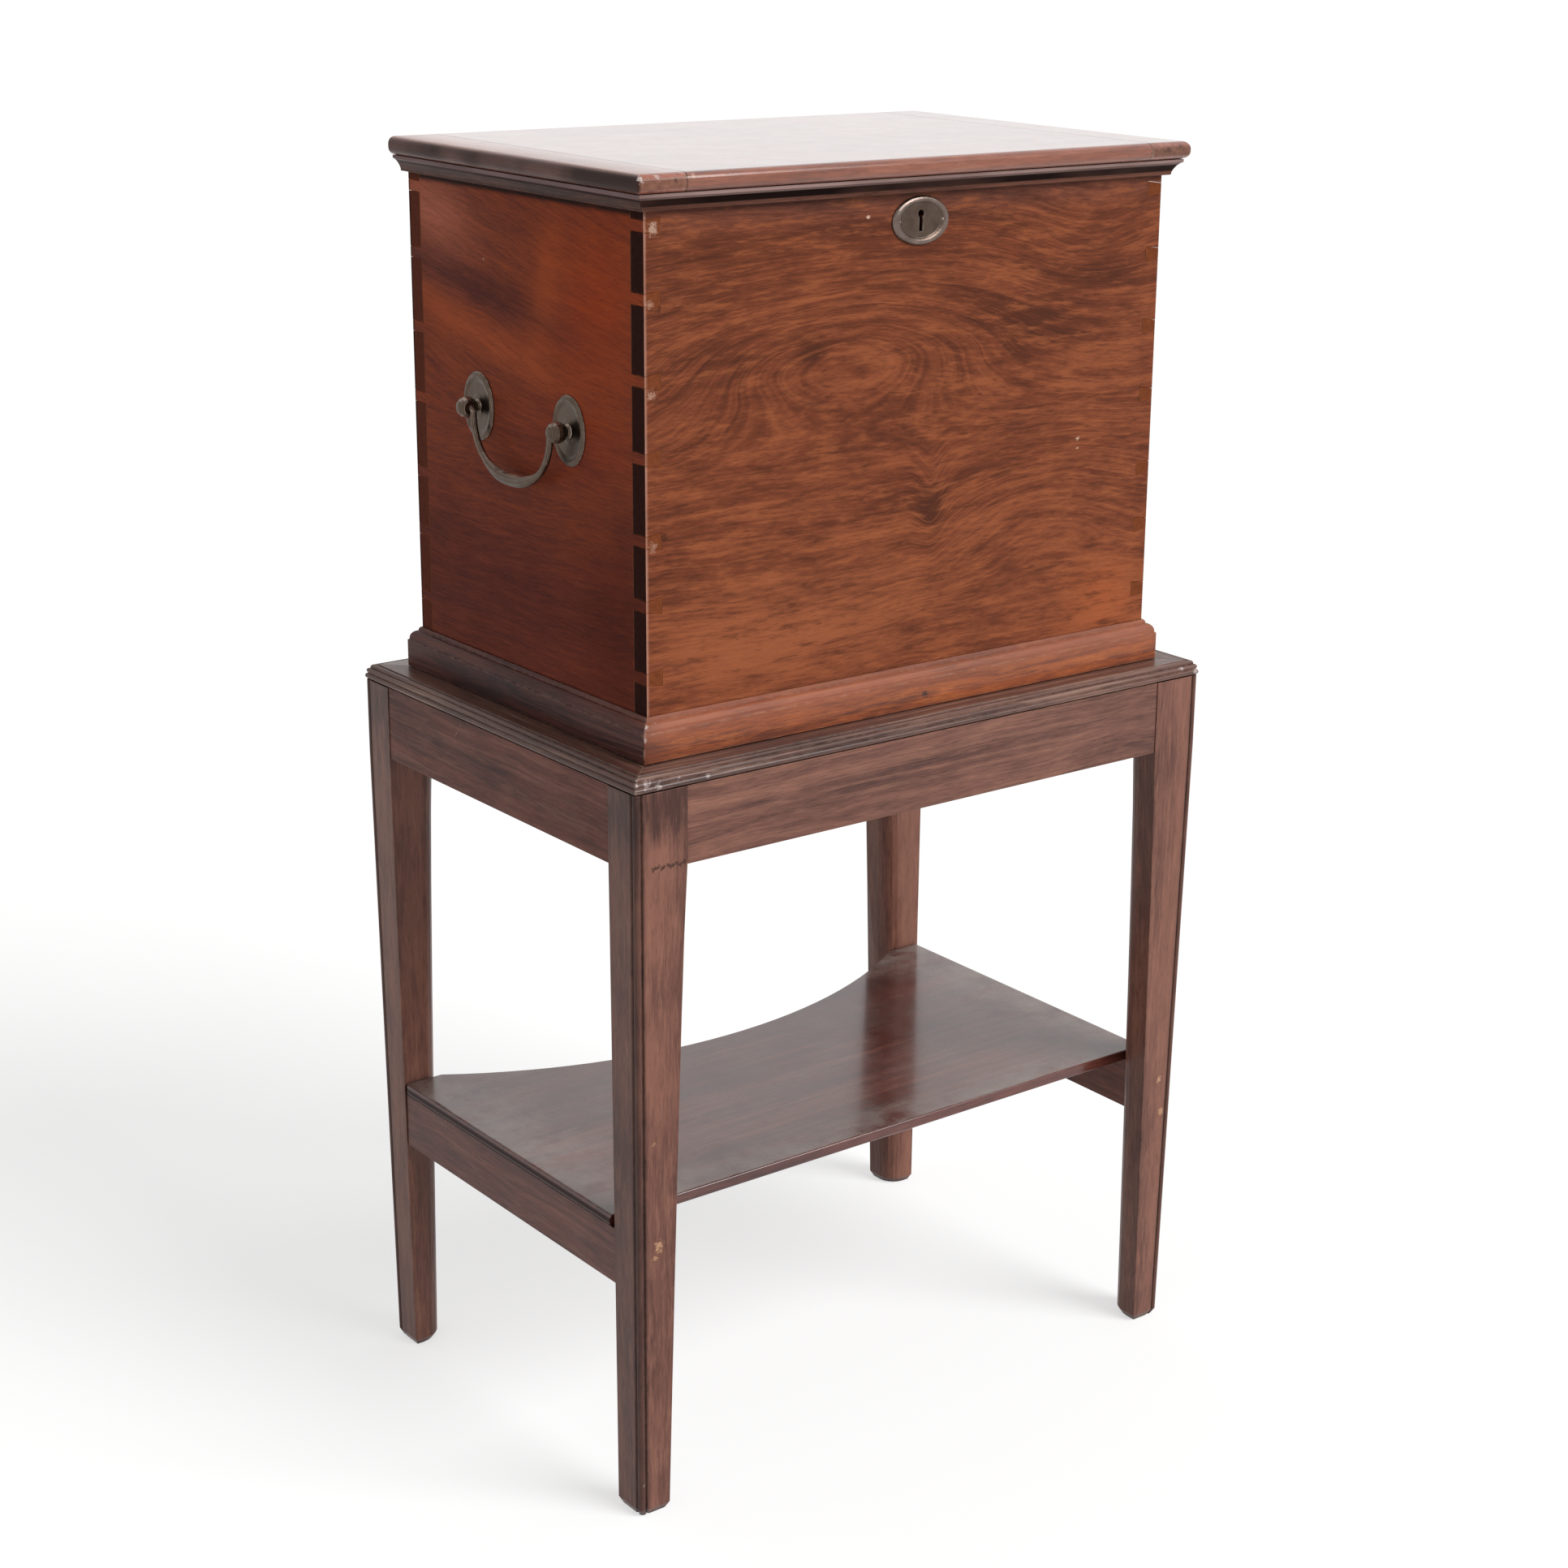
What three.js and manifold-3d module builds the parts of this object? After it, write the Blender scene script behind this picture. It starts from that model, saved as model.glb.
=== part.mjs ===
// A lidded bottle chest of dovetailed mahogany boards, standing on a four-legged stand with a low shelf.
// Millimetres, +Z up, +X right along the front, -Y the front. The origin is on the floor, under the middle.

import * as THREE from "three";
import { mergeVertices } from "three/addons/utils/BufferGeometryUtils.js";
import Module from "manifold-3d";

const wasm = await Module();
wasm.setup();

// Fits shared by all pieces
const glueLine = 0.2;
const runningGap = 0.3;
const cutOverrun = 2;

// Chest carcase
const caseWidth = 432;
const caseDepth = 278;
const caseHeight = 355;
const frontThickness = 14;
const sideThickness = 12;
const bottomThickness = 10;

// Dovetails of the carcase corners
const firstPinDrop = 20;
const lastPinRise = 42.4;
const pinTipHeight = 7;
const pinRootHeight = 10.5;
const lowestPinHeight = 6;

// Bottle dividers
const columns = 4;
const rows = 3;
const dividerThickness = 5;
const dividerHeight = 190;

// Base moulding of the chest
const plinthProjection = 8;
const plinthHeight = 28.5;
const plinthFaceHeight = 19;

// Lid
const lidThickness = 12;
const lidOverhang = 13.5;
const lidBackOverhang = 2;
const lidSeatGap = 0.3;
const lidNoseRadius = 5;
const lidBackRadius = 1;
const cleatWidth = 36;
const tongueLength = 8;
const tongueThickness = 4;
const tongueStop = 14;

// Moulding under the lid's edge
const coveProjection = 10.5;
const coveDepth = 11;
const coveFilletHeight = 2.5;
const coveCaseGap = 0.75;
const coveToeWidth = 4;
const coveToeHeight = 1.5;
const coveArris = 0.75;

// Stand
const standMargin = 30.2;
const standHeight = 517.5;
const apronDepth = 52.5;
const apronThickness = 18;
const apronSetback = 0.5;
const tenonThickness = 7;
const frontTenonLength = 16;
const sideTenonLength = 12;
const tenonShoulder = 6;

// Legs, tapered on every face, with a bead along the outer corner and a rounding along the inner one
const legTopWidth = 40;
const legTopDepth = 31;
const legFootWidth = 24;
const legFootDepth = 27;
const legLeanX = 3.6;
const legLeanY = 6;
const legInnerRadius = 14;
const cornerBeadRadius = 2.5;
const cornerQuirkWidth = 1;
const footBevelHeight = 5;
const footBevelInset = 2.5;

// Reeded rim on top of the stand
const rimThickness = 10.5;
const rimWidth = 46;
const rimProud = 0.3;

// Side stretchers and shelf
const stretcherBottom = 167;
const stretcherDepth = 40;
const stretcherThickness = 13;
const stretcherSetback = 0.75;
const stretcherTenonLength = 10;
const stretcherTenonThickness = 6;
const shelfThickness = 8;
const shelfEndOverhang = 1.8;
const shelfFrontGap = 4.5;
const shelfHollow = 65;
const shelfFrontRadius = 1.5;
const shelfEndRadius = 3.6;
const shelfBackRadius = 0.5;
const shelfCornerRadius = 6;

// Butt hinges of the lid
const hingeLength = 50;
const hingeInset = 91;
const hingeLeafDepth = 12;
const hingeLeafThickness = 1.6;
const hingeBarrelRadius = 3.2;
const hingePinRadius = 1.5;
const hingeAxisOut = 0.5;
const hingeKnuckles = 5;

// Lock, its bolt and the link plate that it holds
const lockWidth = 62;
const lockHeight = 42;
const lockDepth = 9;
const lockTopPlateThickness = 2;
const lockTopPlateWidth = 12;
const boltLength = 24;
const boltHeight = 3.5;
const boltDepth = 2.5;
const boltDrop = 9;
const boltTravel = 8;
const boltClear = 0.7;
const stapleOffset = 14;
const stapleThickness = 3;
const stapleDepth = 6;
const stapleDrop = 13;
const stapleSwingGap = 0.8;
const linkPlateLength = 44;
const linkPlateDepth = 9;
const linkPlateThickness = 1.5;

// Escutcheon and keyhole
const escutcheonWidth = 47;
const escutcheonHeight = 31.5;
const escutcheonThickness = 2.2;
const escutcheonDrop = 29;
const keyholeRadius = 2.6;
const keyholeSlotWidth = 2.8;
const keyholeHeight = 14;
const keyBoreDepth = 6;

// Carrying handles
const handlePlateWidth = 37;
const handlePlateHeight = 46;
const handlePlateThickness = 2;
const handleDrop = 157;
const postKnobRadius = 7.2;
const postNeckRadius = 3.8;
const postCollarRadius = 5;
const postCollarHeight = 1.6;
const postCheek = 5.2;
const postShankRadius = 2.5;
const postReach = 9.8;
const bailDrop = 40;
const bailArmRadius = 2.3;
const bailGripRadius = 4.2;
const bailPintleRadius = 1.9;
const bailPintleEnd = 1;
const bailEndPlay = 0.5;
const nutSize = 10;
const nutThickness = 4;

// Facets of the round shapes
const boreFacets = 20;
const postFacets = 20;
const postHeadFacets = 8;
const plateFacets = 36;
const arcFacets = 6;
const beadFacets = 7;
const innerFacets = 5;
const bailFacets = 10;
const bailSteps = 36;
const shelfFacets = 28;

// Distance between a handle's borings, as a share of the chest's depth
const boringShare = 0.392;
// Bend of the legs' taper: below 1 a leg narrows most just under the aprons
const legTaperBend = 0.8;
// Levels of a leg between its foot and the aprons, as shares of that height
const legLevelShares = [0.35, 0.6, 0.78, 0.9];

// Outline tables, as shares of the sizes that they follow
// Reeds of the rim: centre out, centre up and radius as shares of the rim's thickness, then the arc's start
// and end in degrees
const reedShares = [
  [-0.2, 0.2, 0.2, -90, 75],
  [-0.25, 0.56, 0.17, -50, 80],
  [-0.45, 0.8, 0.175, -25, 130],
];
// Quirk between the reeds and the ledge: out and up, as shares of the rim's thickness
const rimLedgeShares = [
  [-0.63, 0.88],
  [-0.67, 1],
];
// Middles of the hand-cut pins, as shares of the way down from the highest to the lowest
const pinShares = [0, 0.157, 0.334, 0.504, 0.688, 0.834, 1];
// Top of the base moulding: out and up, as shares of its projection and of the height above its face
const plinthTopShares = [
  [0.9, 0.02],
  [0.88, 0.1],
  [0.86, 0.26],
  [0.78, 0.44],
  [0.64, 0.58],
  [0.46, 0.68],
  [0.28, 0.72],
  [0.28, 0.8],
  [0.24, 0.91],
  [0.13, 1],
];
// Escutcheon section: distance from the middle, as a share of half its width, and height as a share of its
// thickness
const escutcheonShares = [
  [0.7, 0.42],
  [0.75, 0.74],
  [0.82, 0.96],
  [0.89, 1],
  [0.96, 0.78],
  [1, 0.3],
  [1, 0],
];
// Handle plate section, in the same two shares
const plateShares = [
  [0.3, 0.6],
  [0.4, 0.45],
  [0.72, 0.5],
  [0.79, 0.84],
  [0.87, 1],
  [0.95, 0.72],
  [1, 0.24],
  [1, 0],
];
// Bail centreline: out as a share of its half span, down as a share of its drop
const bailShares = [
  [1, 0],
  [0.995, -0.13],
  [0.972, -0.3],
  [0.906, -0.5],
  [0.777, -0.7],
  [0.6, -0.85],
  [0.385, -0.95],
  [0.19, -0.99],
];
// Swell of the bail's rod from arm to grip, by share of the half span
const gripShare = 0.25;
const armShare = 0.78;
// Bend of the cove: how far its hollow is drawn from the straight line towards the inner corner
const coveBendShare = 0.35;

// Places that follow from the sizes
const halfWidth = caseWidth / 2;
const halfDepth = caseDepth / 2;
const innerHalfWidth = halfWidth - sideThickness;
const innerHalfDepth = halfDepth - frontThickness;
const standHalfWidth = halfWidth + standMargin;
const standHalfDepth = halfDepth + standMargin;
const apronBottom = standHeight - apronDepth;
const chestBase = standHeight + rimThickness + 2 * glueLine;
const wallBottom = bottomThickness + glueLine;
const wallHeight = caseHeight - wallBottom;
const lidHalfWidth = halfWidth + lidOverhang;
const lidFront = -halfDepth - lidOverhang;
const lidBack = halfDepth + lidBackOverhang;
const hingeAxisY = halfDepth + hingeAxisOut;
const leafSeat = lidSeatGap / 2;
const barrelClearRadius = hingeBarrelRadius + runningGap;
const lockMiddleY = -innerHalfDepth - lockDepth / 2;
const cornerEdge = 2 * cornerBeadRadius + cornerQuirkWidth;
const handleBoring = boringShare * caseDepth;
const plateMiddleHeight = plateShares[0][1] * handlePlateThickness;

// Materials
function wood(color, roughness) {
  return new THREE.MeshStandardMaterial({ color, roughness, metalness: 0 });
}
function metal(color, roughness) {
  return new THREE.MeshStandardMaterial({ color, roughness, metalness: 1 });
}
const frontMahogany = wood(0x7c4630, 0.38);
const sideMahogany = wood(0x6a2c20, 0.36);
const plinthMahogany = wood(0x9a4f2c, 0.36);
const standMahogany = wood(0x5a3b34, 0.42);
const shelfMahogany = wood(0x4d322f, 0.3);
const lidMahogany = wood(0x6b3f34, 0.22);
const innerWood = wood(0x8a6a4a, 0.7);
const agedBrass = metal(0x5f5344, 0.42);
const lockBrass = metal(0x8a744a, 0.45);
const iron = metal(0x4a4744, 0.6);

// Joins and cuts

function solidOf(geometry) {
  const bare = geometry.clone();
  bare.deleteAttribute("normal");
  bare.deleteAttribute("uv");
  const merged = mergeVertices(bare);
  const corners = merged.index.array;
  const triangles = [];
  for (let i = 0; i < corners.length; i += 3) {
    const [a, b, c] = corners.subarray(i, i + 3);
    if (a !== b && b !== c && c !== a) {
      triangles.push(a, b, c);
    }
  }
  return new wasm.Manifold(
    new wasm.Mesh({
      numProp: 3,
      vertProperties: merged.attributes.position.array,
      triVerts: new Uint32Array(triangles),
    }),
  );
}

function geometryOf(solid) {
  const mesh = solid.getMesh();
  const shared = new THREE.BufferGeometry();
  shared.setAttribute("position", new THREE.BufferAttribute(mesh.vertProperties, 3));
  shared.setIndex(new THREE.BufferAttribute(mesh.triVerts, 1));
  const faceted = shared.toNonIndexed();
  faceted.computeVertexNormals();
  return faceted;
}

function join(first, ...others) {
  return geometryOf(others.reduce((sum, next) => sum.add(solidOf(next)), solidOf(first)));
}

function cut(first, ...others) {
  return geometryOf(others.reduce((rest, next) => rest.subtract(solidOf(next)), solidOf(first)));
}

function common(first, second) {
  return geometryOf(solidOf(first).intersect(solidOf(second)));
}

// Basic forms

function at(x, y) {
  return new THREE.Vector2(x, y);
}

function block(x0, x1, y0, y1, z0, z1) {
  const geometry = new THREE.BoxGeometry(x1 - x0, y1 - y0, z1 - z0);
  return geometry.translate((x0 + x1) / 2, (y0 + y1) / 2, (z0 + z1) / 2);
}

function arc(centreX, centreY, radius, startDegrees, endDegrees, facets = arcFacets) {
  const points = [];
  for (let i = 0; i <= facets; i += 1) {
    const turn = THREE.MathUtils.degToRad(THREE.MathUtils.lerp(startDegrees, endDegrees, i / facets));
    points.push(at(centreX + radius * Math.cos(turn), centreY + radius * Math.sin(turn)));
  }
  return points;
}

// A solid with one ring of the outline per level. The given function carries each ring's points to their
// place.
function loft(outline, levels, place) {
  const steps = levels.length - 1;
  const settings = { depth: steps, steps, bevelEnabled: false };
  const geometry = new THREE.ExtrudeGeometry(new THREE.Shape(outline), settings);
  const position = geometry.attributes.position;
  for (let i = 0; i < position.count; i += 1) {
    const level = levels[Math.round(position.getZ(i))];
    const spot = place(position.getX(i), position.getY(i), level);
    position.setXYZ(i, spot.x, spot.y, spot.z);
  }
  geometry.computeVertexNormals();
  return geometry;
}

// An outline in (y, z) drawn out along X
function alongX(outline, x0, x1) {
  return loft(outline, [x0, x1], (y, z, x) => new THREE.Vector3(x, y, z));
}

// An outline in (x, z) drawn out along Y
function alongY(outline, y0, y1) {
  return loft(outline, [y1, y0], (x, z, y) => new THREE.Vector3(x, y, z));
}

// A solid of revolution about X: the profile is (radius, x) and starts and ends on the axis.
function turnedX(profile, facets) {
  const geometry = new THREE.LatheGeometry(profile, facets);
  return geometry.rotateZ(-Math.PI / 2);
}

function rodX(radius, x0, x1, y, z, facets = boreFacets) {
  const geometry = new THREE.CylinderGeometry(radius, radius, x1 - x0, facets);
  return geometry.rotateZ(-Math.PI / 2).translate((x0 + x1) / 2, y, z);
}

function rodY(radius, y0, y1, x, z, facets = boreFacets) {
  const geometry = new THREE.CylinderGeometry(radius, radius, y1 - y0, facets);
  return geometry.translate(x, (y0 + y1) / 2, z);
}

// Section of a board from one edge to the other, with its corners rounded
function roundedSection(start, end, thickness, startRadius, endRadius) {
  return [
    ...arc(start + startRadius, startRadius, startRadius, 270, 180),
    ...arc(start + startRadius, thickness - startRadius, startRadius, 180, 90),
    ...arc(end - endRadius, thickness - endRadius, endRadius, 90, 0),
    ...arc(end - endRadius, endRadius, endRadius, 0, -90),
  ];
}

// The mirror image across one or both upright middle planes, with its faces still outward
function mirrored(geometry, sideX, sideY) {
  const faces = geometry.index ? geometry.toNonIndexed() : geometry;
  const source = faces.attributes.position;
  const order = sideX * sideY < 0 ? [1, 0, 2] : [0, 1, 2];
  const values = [];
  for (let first = 0; first < source.count; first += 3) {
    for (const step of order) {
      const i = first + step;
      values.push(sideX * source.getX(i), sideY * source.getY(i), source.getZ(i));
    }
  }
  const image = new THREE.BufferGeometry();
  image.setAttribute("position", new THREE.Float32BufferAttribute(values, 3));
  image.computeVertexNormals();
  return image;
}

// A straight moulding along X, its outline given as (out towards -Y, up). A mitred end grows with the
// outline.
function moulding(outline, x0, x1, mitreStart, mitreEnd) {
  return loft(outline, [1, 0], (out, up, end) => {
    const grown = out - glueLine / 2;
    const x = end ? x1 + (mitreEnd ? grown : 0) : x0 - (mitreStart ? grown : 0);
    return new THREE.Vector3(x, -out, up);
  });
}

const root = new THREE.Group();
const stand = new THREE.Group();
const chest = new THREE.Group();
const lid = new THREE.Group();
chest.position.z = chestBase;
lid.position.z = chestBase + caseHeight + lidSeatGap;
root.add(stand, chest, lid);

function piece(parent, name, geometry, material) {
  const mesh = new THREE.Mesh(geometry, material);
  mesh.name = name;
  parent.add(mesh);
  return mesh;
}

// Four mitred lengths round a rectangle
function addFrame(parent, prefix, outline, halfX, halfY, height, material) {
  const sides = [
    ["front", halfX, 0, 0, -halfY],
    ["back", halfX, Math.PI, 0, halfY],
    ["left", halfY, -Math.PI / 2, -halfX, 0],
    ["right", halfY, Math.PI / 2, halfX, 0],
  ];
  for (const [name, half, turn, x, y] of sides) {
    const mesh = piece(parent, `${prefix}_${name}`, moulding(outline, -half, half, true, true), material);
    mesh.rotation.z = turn;
    mesh.position.set(x, y, height);
  }
}

// Stand: legs

// Size of a leg at a height: the taper starts at the aprons' lower edge
function legAt(height) {
  const drop = Math.max(0, 1 - height / apronBottom);
  const taper = drop ** legTaperBend;
  return {
    insetX: legLeanX * drop,
    insetY: legLeanY * drop,
    width: THREE.MathUtils.lerp(legTopWidth, legFootWidth, taper),
    depth: THREE.MathUtils.lerp(legTopDepth, legFootDepth, taper),
  };
}

// How far a leg's inner face stands from the stand's front or back face
function legInnerY(height) {
  const size = legAt(height);
  return size.insetY + size.depth;
}

const stretcherTop = stretcherBottom + stretcherDepth;
const stretcherLeg = legAt(stretcherTop);
const stretcherOut = legAt(stretcherBottom).insetX + stretcherSetback;
const stretcherShoulder = Math.max(legInnerY(stretcherBottom), legInnerY(stretcherTop)) + glueLine;

// Tenons, measured from the outer corner of a leg. Their mortises are cut from the same sizes.
const railTenon = {
  near: apronSetback + (apronThickness - tenonThickness) / 2,
  far: apronSetback + (apronThickness + tenonThickness) / 2,
  low: apronBottom + tenonShoulder,
  high: standHeight - tenonShoulder,
};
const stretcherTenon = {
  near: stretcherOut + (stretcherThickness - stretcherTenonThickness) / 2,
  far: stretcherOut + (stretcherThickness + stretcherTenonThickness) / 2,
  low: stretcherBottom + tenonShoulder,
  high: stretcherTop - tenonShoulder,
};

// Plan of a leg from its outer corner inwards: a bead between two quirks works that corner.
function legOutline() {
  return [
    at(cornerEdge, 0),
    at(legTopWidth, 0),
    ...arc(legTopWidth - legInnerRadius, legTopDepth - legInnerRadius, legInnerRadius, 0, 90, innerFacets),
    at(0, legTopDepth),
    at(0, cornerEdge),
    ...arc(cornerBeadRadius, cornerBeadRadius, cornerBeadRadius, 110, 340, beadFacets),
  ];
}

function legForm() {
  const between = legLevelShares.map((share) => share * apronBottom);
  const levels = [0, footBevelHeight, ...between, apronBottom, standHeight - glueLine];
  return loft(legOutline(), levels, (x, y, height) => {
    const size = legAt(height);
    const bevel = height > 0 ? 0 : footBevelInset;
    const along = x > cornerEdge ? x - legTopWidth + size.width - bevel : x + bevel;
    const across = y > cornerEdge ? y - legTopDepth + size.depth - bevel : y + bevel;
    return new THREE.Vector3(size.insetX + along, size.insetY + across, height);
  });
}

function mortise(tenon, x0, x1, y0, y1) {
  return block(x0, x1, y0, y1, tenon.low - glueLine, tenon.high + glueLine);
}

function legGeometry() {
  const frontRail = mortise(
    railTenon,
    legTopWidth - frontTenonLength - glueLine,
    legTopWidth + cutOverrun,
    railTenon.near - glueLine,
    railTenon.far + glueLine,
  );
  const sideRail = mortise(
    railTenon,
    railTenon.near - glueLine,
    railTenon.far + glueLine,
    legTopDepth - sideTenonLength - glueLine,
    legTopDepth + cutOverrun,
  );
  const stretcher = mortise(
    stretcherTenon,
    stretcherTenon.near - glueLine,
    stretcherTenon.far + glueLine,
    stretcherShoulder - stretcherTenonLength - glueLine,
    stretcherShoulder + cutOverrun,
  );
  return cut(legForm(), frontRail, sideRail, stretcher);
}

function addLegs() {
  const corner = legGeometry().translate(-standHalfWidth, -standHalfDepth, 0);
  piece(stand, "leg_front_left", corner, standMahogany);
  piece(stand, "leg_front_right", mirrored(corner, -1, 1), standMahogany);
  piece(stand, "leg_back_left", mirrored(corner, 1, -1), standMahogany);
  piece(stand, "leg_back_right", mirrored(corner, -1, -1), standMahogany);
}
addLegs();

// Stand: aprons, tenoned into the legs

function apronGeometry(halfLength, tenonLength) {
  const shoulder = halfLength - glueLine;
  const tip = halfLength + tenonLength;
  const far = apronSetback + apronThickness;
  const rail = block(-shoulder, shoulder, apronSetback, far, apronBottom, standHeight - glueLine);
  const tenons = block(-tip, tip, railTenon.near, railTenon.far, railTenon.low, railTenon.high);
  return join(rail, tenons);
}

function addAprons() {
  const long = apronGeometry(standHalfWidth - legTopWidth, frontTenonLength);
  const short = apronGeometry(standHalfDepth - legTopDepth, sideTenonLength);
  const sides = [
    ["front", long, 0, 0, -standHalfDepth],
    ["back", long, Math.PI, 0, standHalfDepth],
    ["left", short, -Math.PI / 2, -standHalfWidth, 0],
    ["right", short, Math.PI / 2, standHalfWidth, 0],
  ];
  for (const [name, geometry, turn, x, y] of sides) {
    const mesh = piece(stand, `apron_${name}`, geometry, standMahogany);
    mesh.rotation.z = turn;
    mesh.position.set(x, y, 0);
  }
}
addAprons();

// Stand: reeded rim, whose flat ledge carries the chest

function rimOutline() {
  const points = [at(-rimWidth, 0)];
  for (const [out, up, radius, start, end] of reedShares) {
    const centreOut = rimProud + out * rimThickness;
    points.push(...arc(centreOut, up * rimThickness, radius * rimThickness, start, end));
  }
  for (const [out, up] of rimLedgeShares) {
    points.push(at(out * rimThickness, up * rimThickness));
  }
  points.push(at(-rimWidth, rimThickness));
  return points;
}
addFrame(stand, "rim", rimOutline(), standHalfWidth, standHalfDepth, standHeight, standMahogany);

// Stand: side stretchers, tenoned into the legs, and the shelf that lies on them

function addStretchers() {
  const halfLength = standHalfDepth - stretcherShoulder;
  const tip = halfLength + stretcherTenonLength;
  const near = stretcherOut - standHalfWidth;
  const far = near + stretcherThickness;
  const rail = block(near, far, -halfLength, halfLength, stretcherBottom, stretcherTop);
  const tenons = block(
    stretcherTenon.near - standHalfWidth,
    stretcherTenon.far - standHalfWidth,
    -tip,
    tip,
    stretcherTenon.low,
    stretcherTenon.high,
  );
  const left = join(rail, tenons);
  piece(stand, "stretcher_left", left, standMahogany);
  piece(stand, "stretcher_right", mirrored(left, -1, 1), standMahogany);
}
addStretchers();

// The shelf fits between the front and back legs. Its back edge is one shallow arc from leg to leg.
function addShelf() {
  const halfLength = standHalfWidth - stretcherOut + shelfEndOverhang;
  const back = standHalfDepth - legInnerY(stretcherTop) - runningGap;
  const front = shelfFrontGap - back;
  const halfChord = standHalfWidth - stretcherLeg.insetX - stretcherLeg.width;
  const radius = (halfChord * halfChord + shelfHollow * shelfHollow) / (2 * shelfHollow);
  const halfTurn = THREE.MathUtils.radToDeg(Math.asin(halfChord / radius));
  const cornerX = halfLength - shelfCornerRadius;
  const cornerY = back - shelfCornerRadius;
  const outline = [
    at(-halfLength, front),
    at(halfLength, front),
    ...arc(cornerX, cornerY, shelfCornerRadius, 0, 90),
    ...arc(0, back - shelfHollow + radius, radius, halfTurn - 90, -halfTurn - 90, shelfFacets),
    ...arc(-cornerX, cornerY, shelfCornerRadius, 90, 180),
  ];
  const board = loft(outline, [0, shelfThickness], (x, y, z) => new THREE.Vector3(x, y, z));
  const across = roundedSection(front, back, shelfThickness, shelfFrontRadius, shelfBackRadius);
  const along = roundedSection(-halfLength, halfLength, shelfThickness, shelfEndRadius, shelfEndRadius);
  const form = common(
    alongX(across, -halfLength - cutOverrun, halfLength + cutOverrun),
    alongY(along, front - cutOverrun, back + cutOverrun),
  );
  const shelf = piece(stand, "shelf", common(board, form), shelfMahogany);
  shelf.position.z = stretcherTop + glueLine;
}
addShelf();

// Chest: through-dovetailed walls. The front and back boards carry the tails, the sides the pins.

const pinSlope = (pinRootHeight - pinTipHeight) / 2 / sideThickness;

// A pin in (x, z), its tip on the chest's left face. A grown pin cuts its socket.
function pinOutline(centre, grow) {
  const over = grow > 0 ? cutOverrun : 0;
  const tip = pinTipHeight / 2 + grow - pinSlope * over;
  const base = pinRootHeight / 2 + grow + pinSlope * grow;
  const x0 = -halfWidth - over;
  const x1 = grow - innerHalfWidth;
  return [at(x0, centre - tip), at(x1, centre - base), at(x1, centre + base), at(x0, centre + tip)];
}

// The half pin along the lower edge
function lowestPinOutline(grow) {
  const over = grow > 0 ? cutOverrun : 0;
  const tip = lowestPinHeight + grow - pinSlope * over;
  const base = lowestPinHeight + grow + pinSlope * (sideThickness + grow);
  const x0 = -halfWidth - over;
  const x1 = grow - innerHalfWidth;
  return [at(x0, -over), at(x1, -over), at(x1, base), at(x0, tip)];
}

function pins(grow, y0, y1) {
  const outlines = [lowestPinOutline(grow)];
  for (const share of pinShares) {
    outlines.push(pinOutline(THREE.MathUtils.lerp(wallHeight - firstPinDrop, lastPinRise, share), grow));
  }
  return outlines.map((outline) => alongY(outline, y0, y1));
}

function tailBoard() {
  const board = block(-halfWidth, halfWidth, -halfDepth, -innerHalfDepth, 0, wallHeight);
  const sockets = pins(glueLine, -halfDepth - cutOverrun, -innerHalfDepth + cutOverrun);
  return cut(board, ...sockets, ...sockets.map((socket) => mirrored(socket, -1, 1)));
}

function pinBoard() {
  const shoulder = innerHalfDepth - glueLine;
  const board = block(-halfWidth, -innerHalfWidth, -shoulder, shoulder, 0, wallHeight);
  const frontPins = pins(0, -halfDepth, cutOverrun - shoulder);
  const backPins = frontPins.map((pin) => mirrored(pin, 1, -1));
  return join(board, ...frontPins, ...backPins);
}

// The keyhole: a round bore with a slot below it, in the XZ plane about its middle
function keyhole(y0, y1, height) {
  const boreZ = height + keyholeHeight / 2 - keyholeRadius;
  const half = keyholeSlotWidth / 2;
  const slot = block(-half, half, y0, y1, height - keyholeHeight / 2, boreZ);
  return join(slot, rodY(keyholeRadius, y0, y1, 0, boreZ));
}

// Recesses of the lock in the front board, whose heights are counted from the board's lower edge
function lockRecess() {
  const half = lockWidth / 2 + glueLine;
  const inner = cutOverrun - innerHalfDepth;
  const top = wallHeight + cutOverrun;
  const bodyOut = -innerHalfDepth - lockDepth - glueLine;
  const plateOut = -innerHalfDepth - lockTopPlateWidth - glueLine;
  const body = block(-half, half, bodyOut, inner, wallHeight - lockHeight - glueLine, top);
  const plate = block(-half, half, plateOut, inner, wallHeight - lockTopPlateThickness - glueLine, top);
  return join(body, plate);
}

// Recesses of the hinges in the back board
function hingeRecess(x) {
  const half = hingeLength / 2 + runningGap;
  const near = -hingeAxisOut - hingeLeafDepth - glueLine;
  const floor = -leafSeat - hingeLeafThickness - glueLine;
  const leaf = block(-half, half, near, 0, floor, cutOverrun);
  const recess = join(leaf, rodX(barrelClearRadius, -half, half, 0, 0));
  return recess.translate(x, hingeAxisY, wallHeight + leafSeat);
}

const hingePlaces = [
  ["left", hingeInset - halfWidth],
  ["right", halfWidth - hingeInset],
];
const boringPlaces = [-handleBoring / 2, handleBoring / 2];
const handleHeight = wallHeight - handleDrop;

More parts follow.
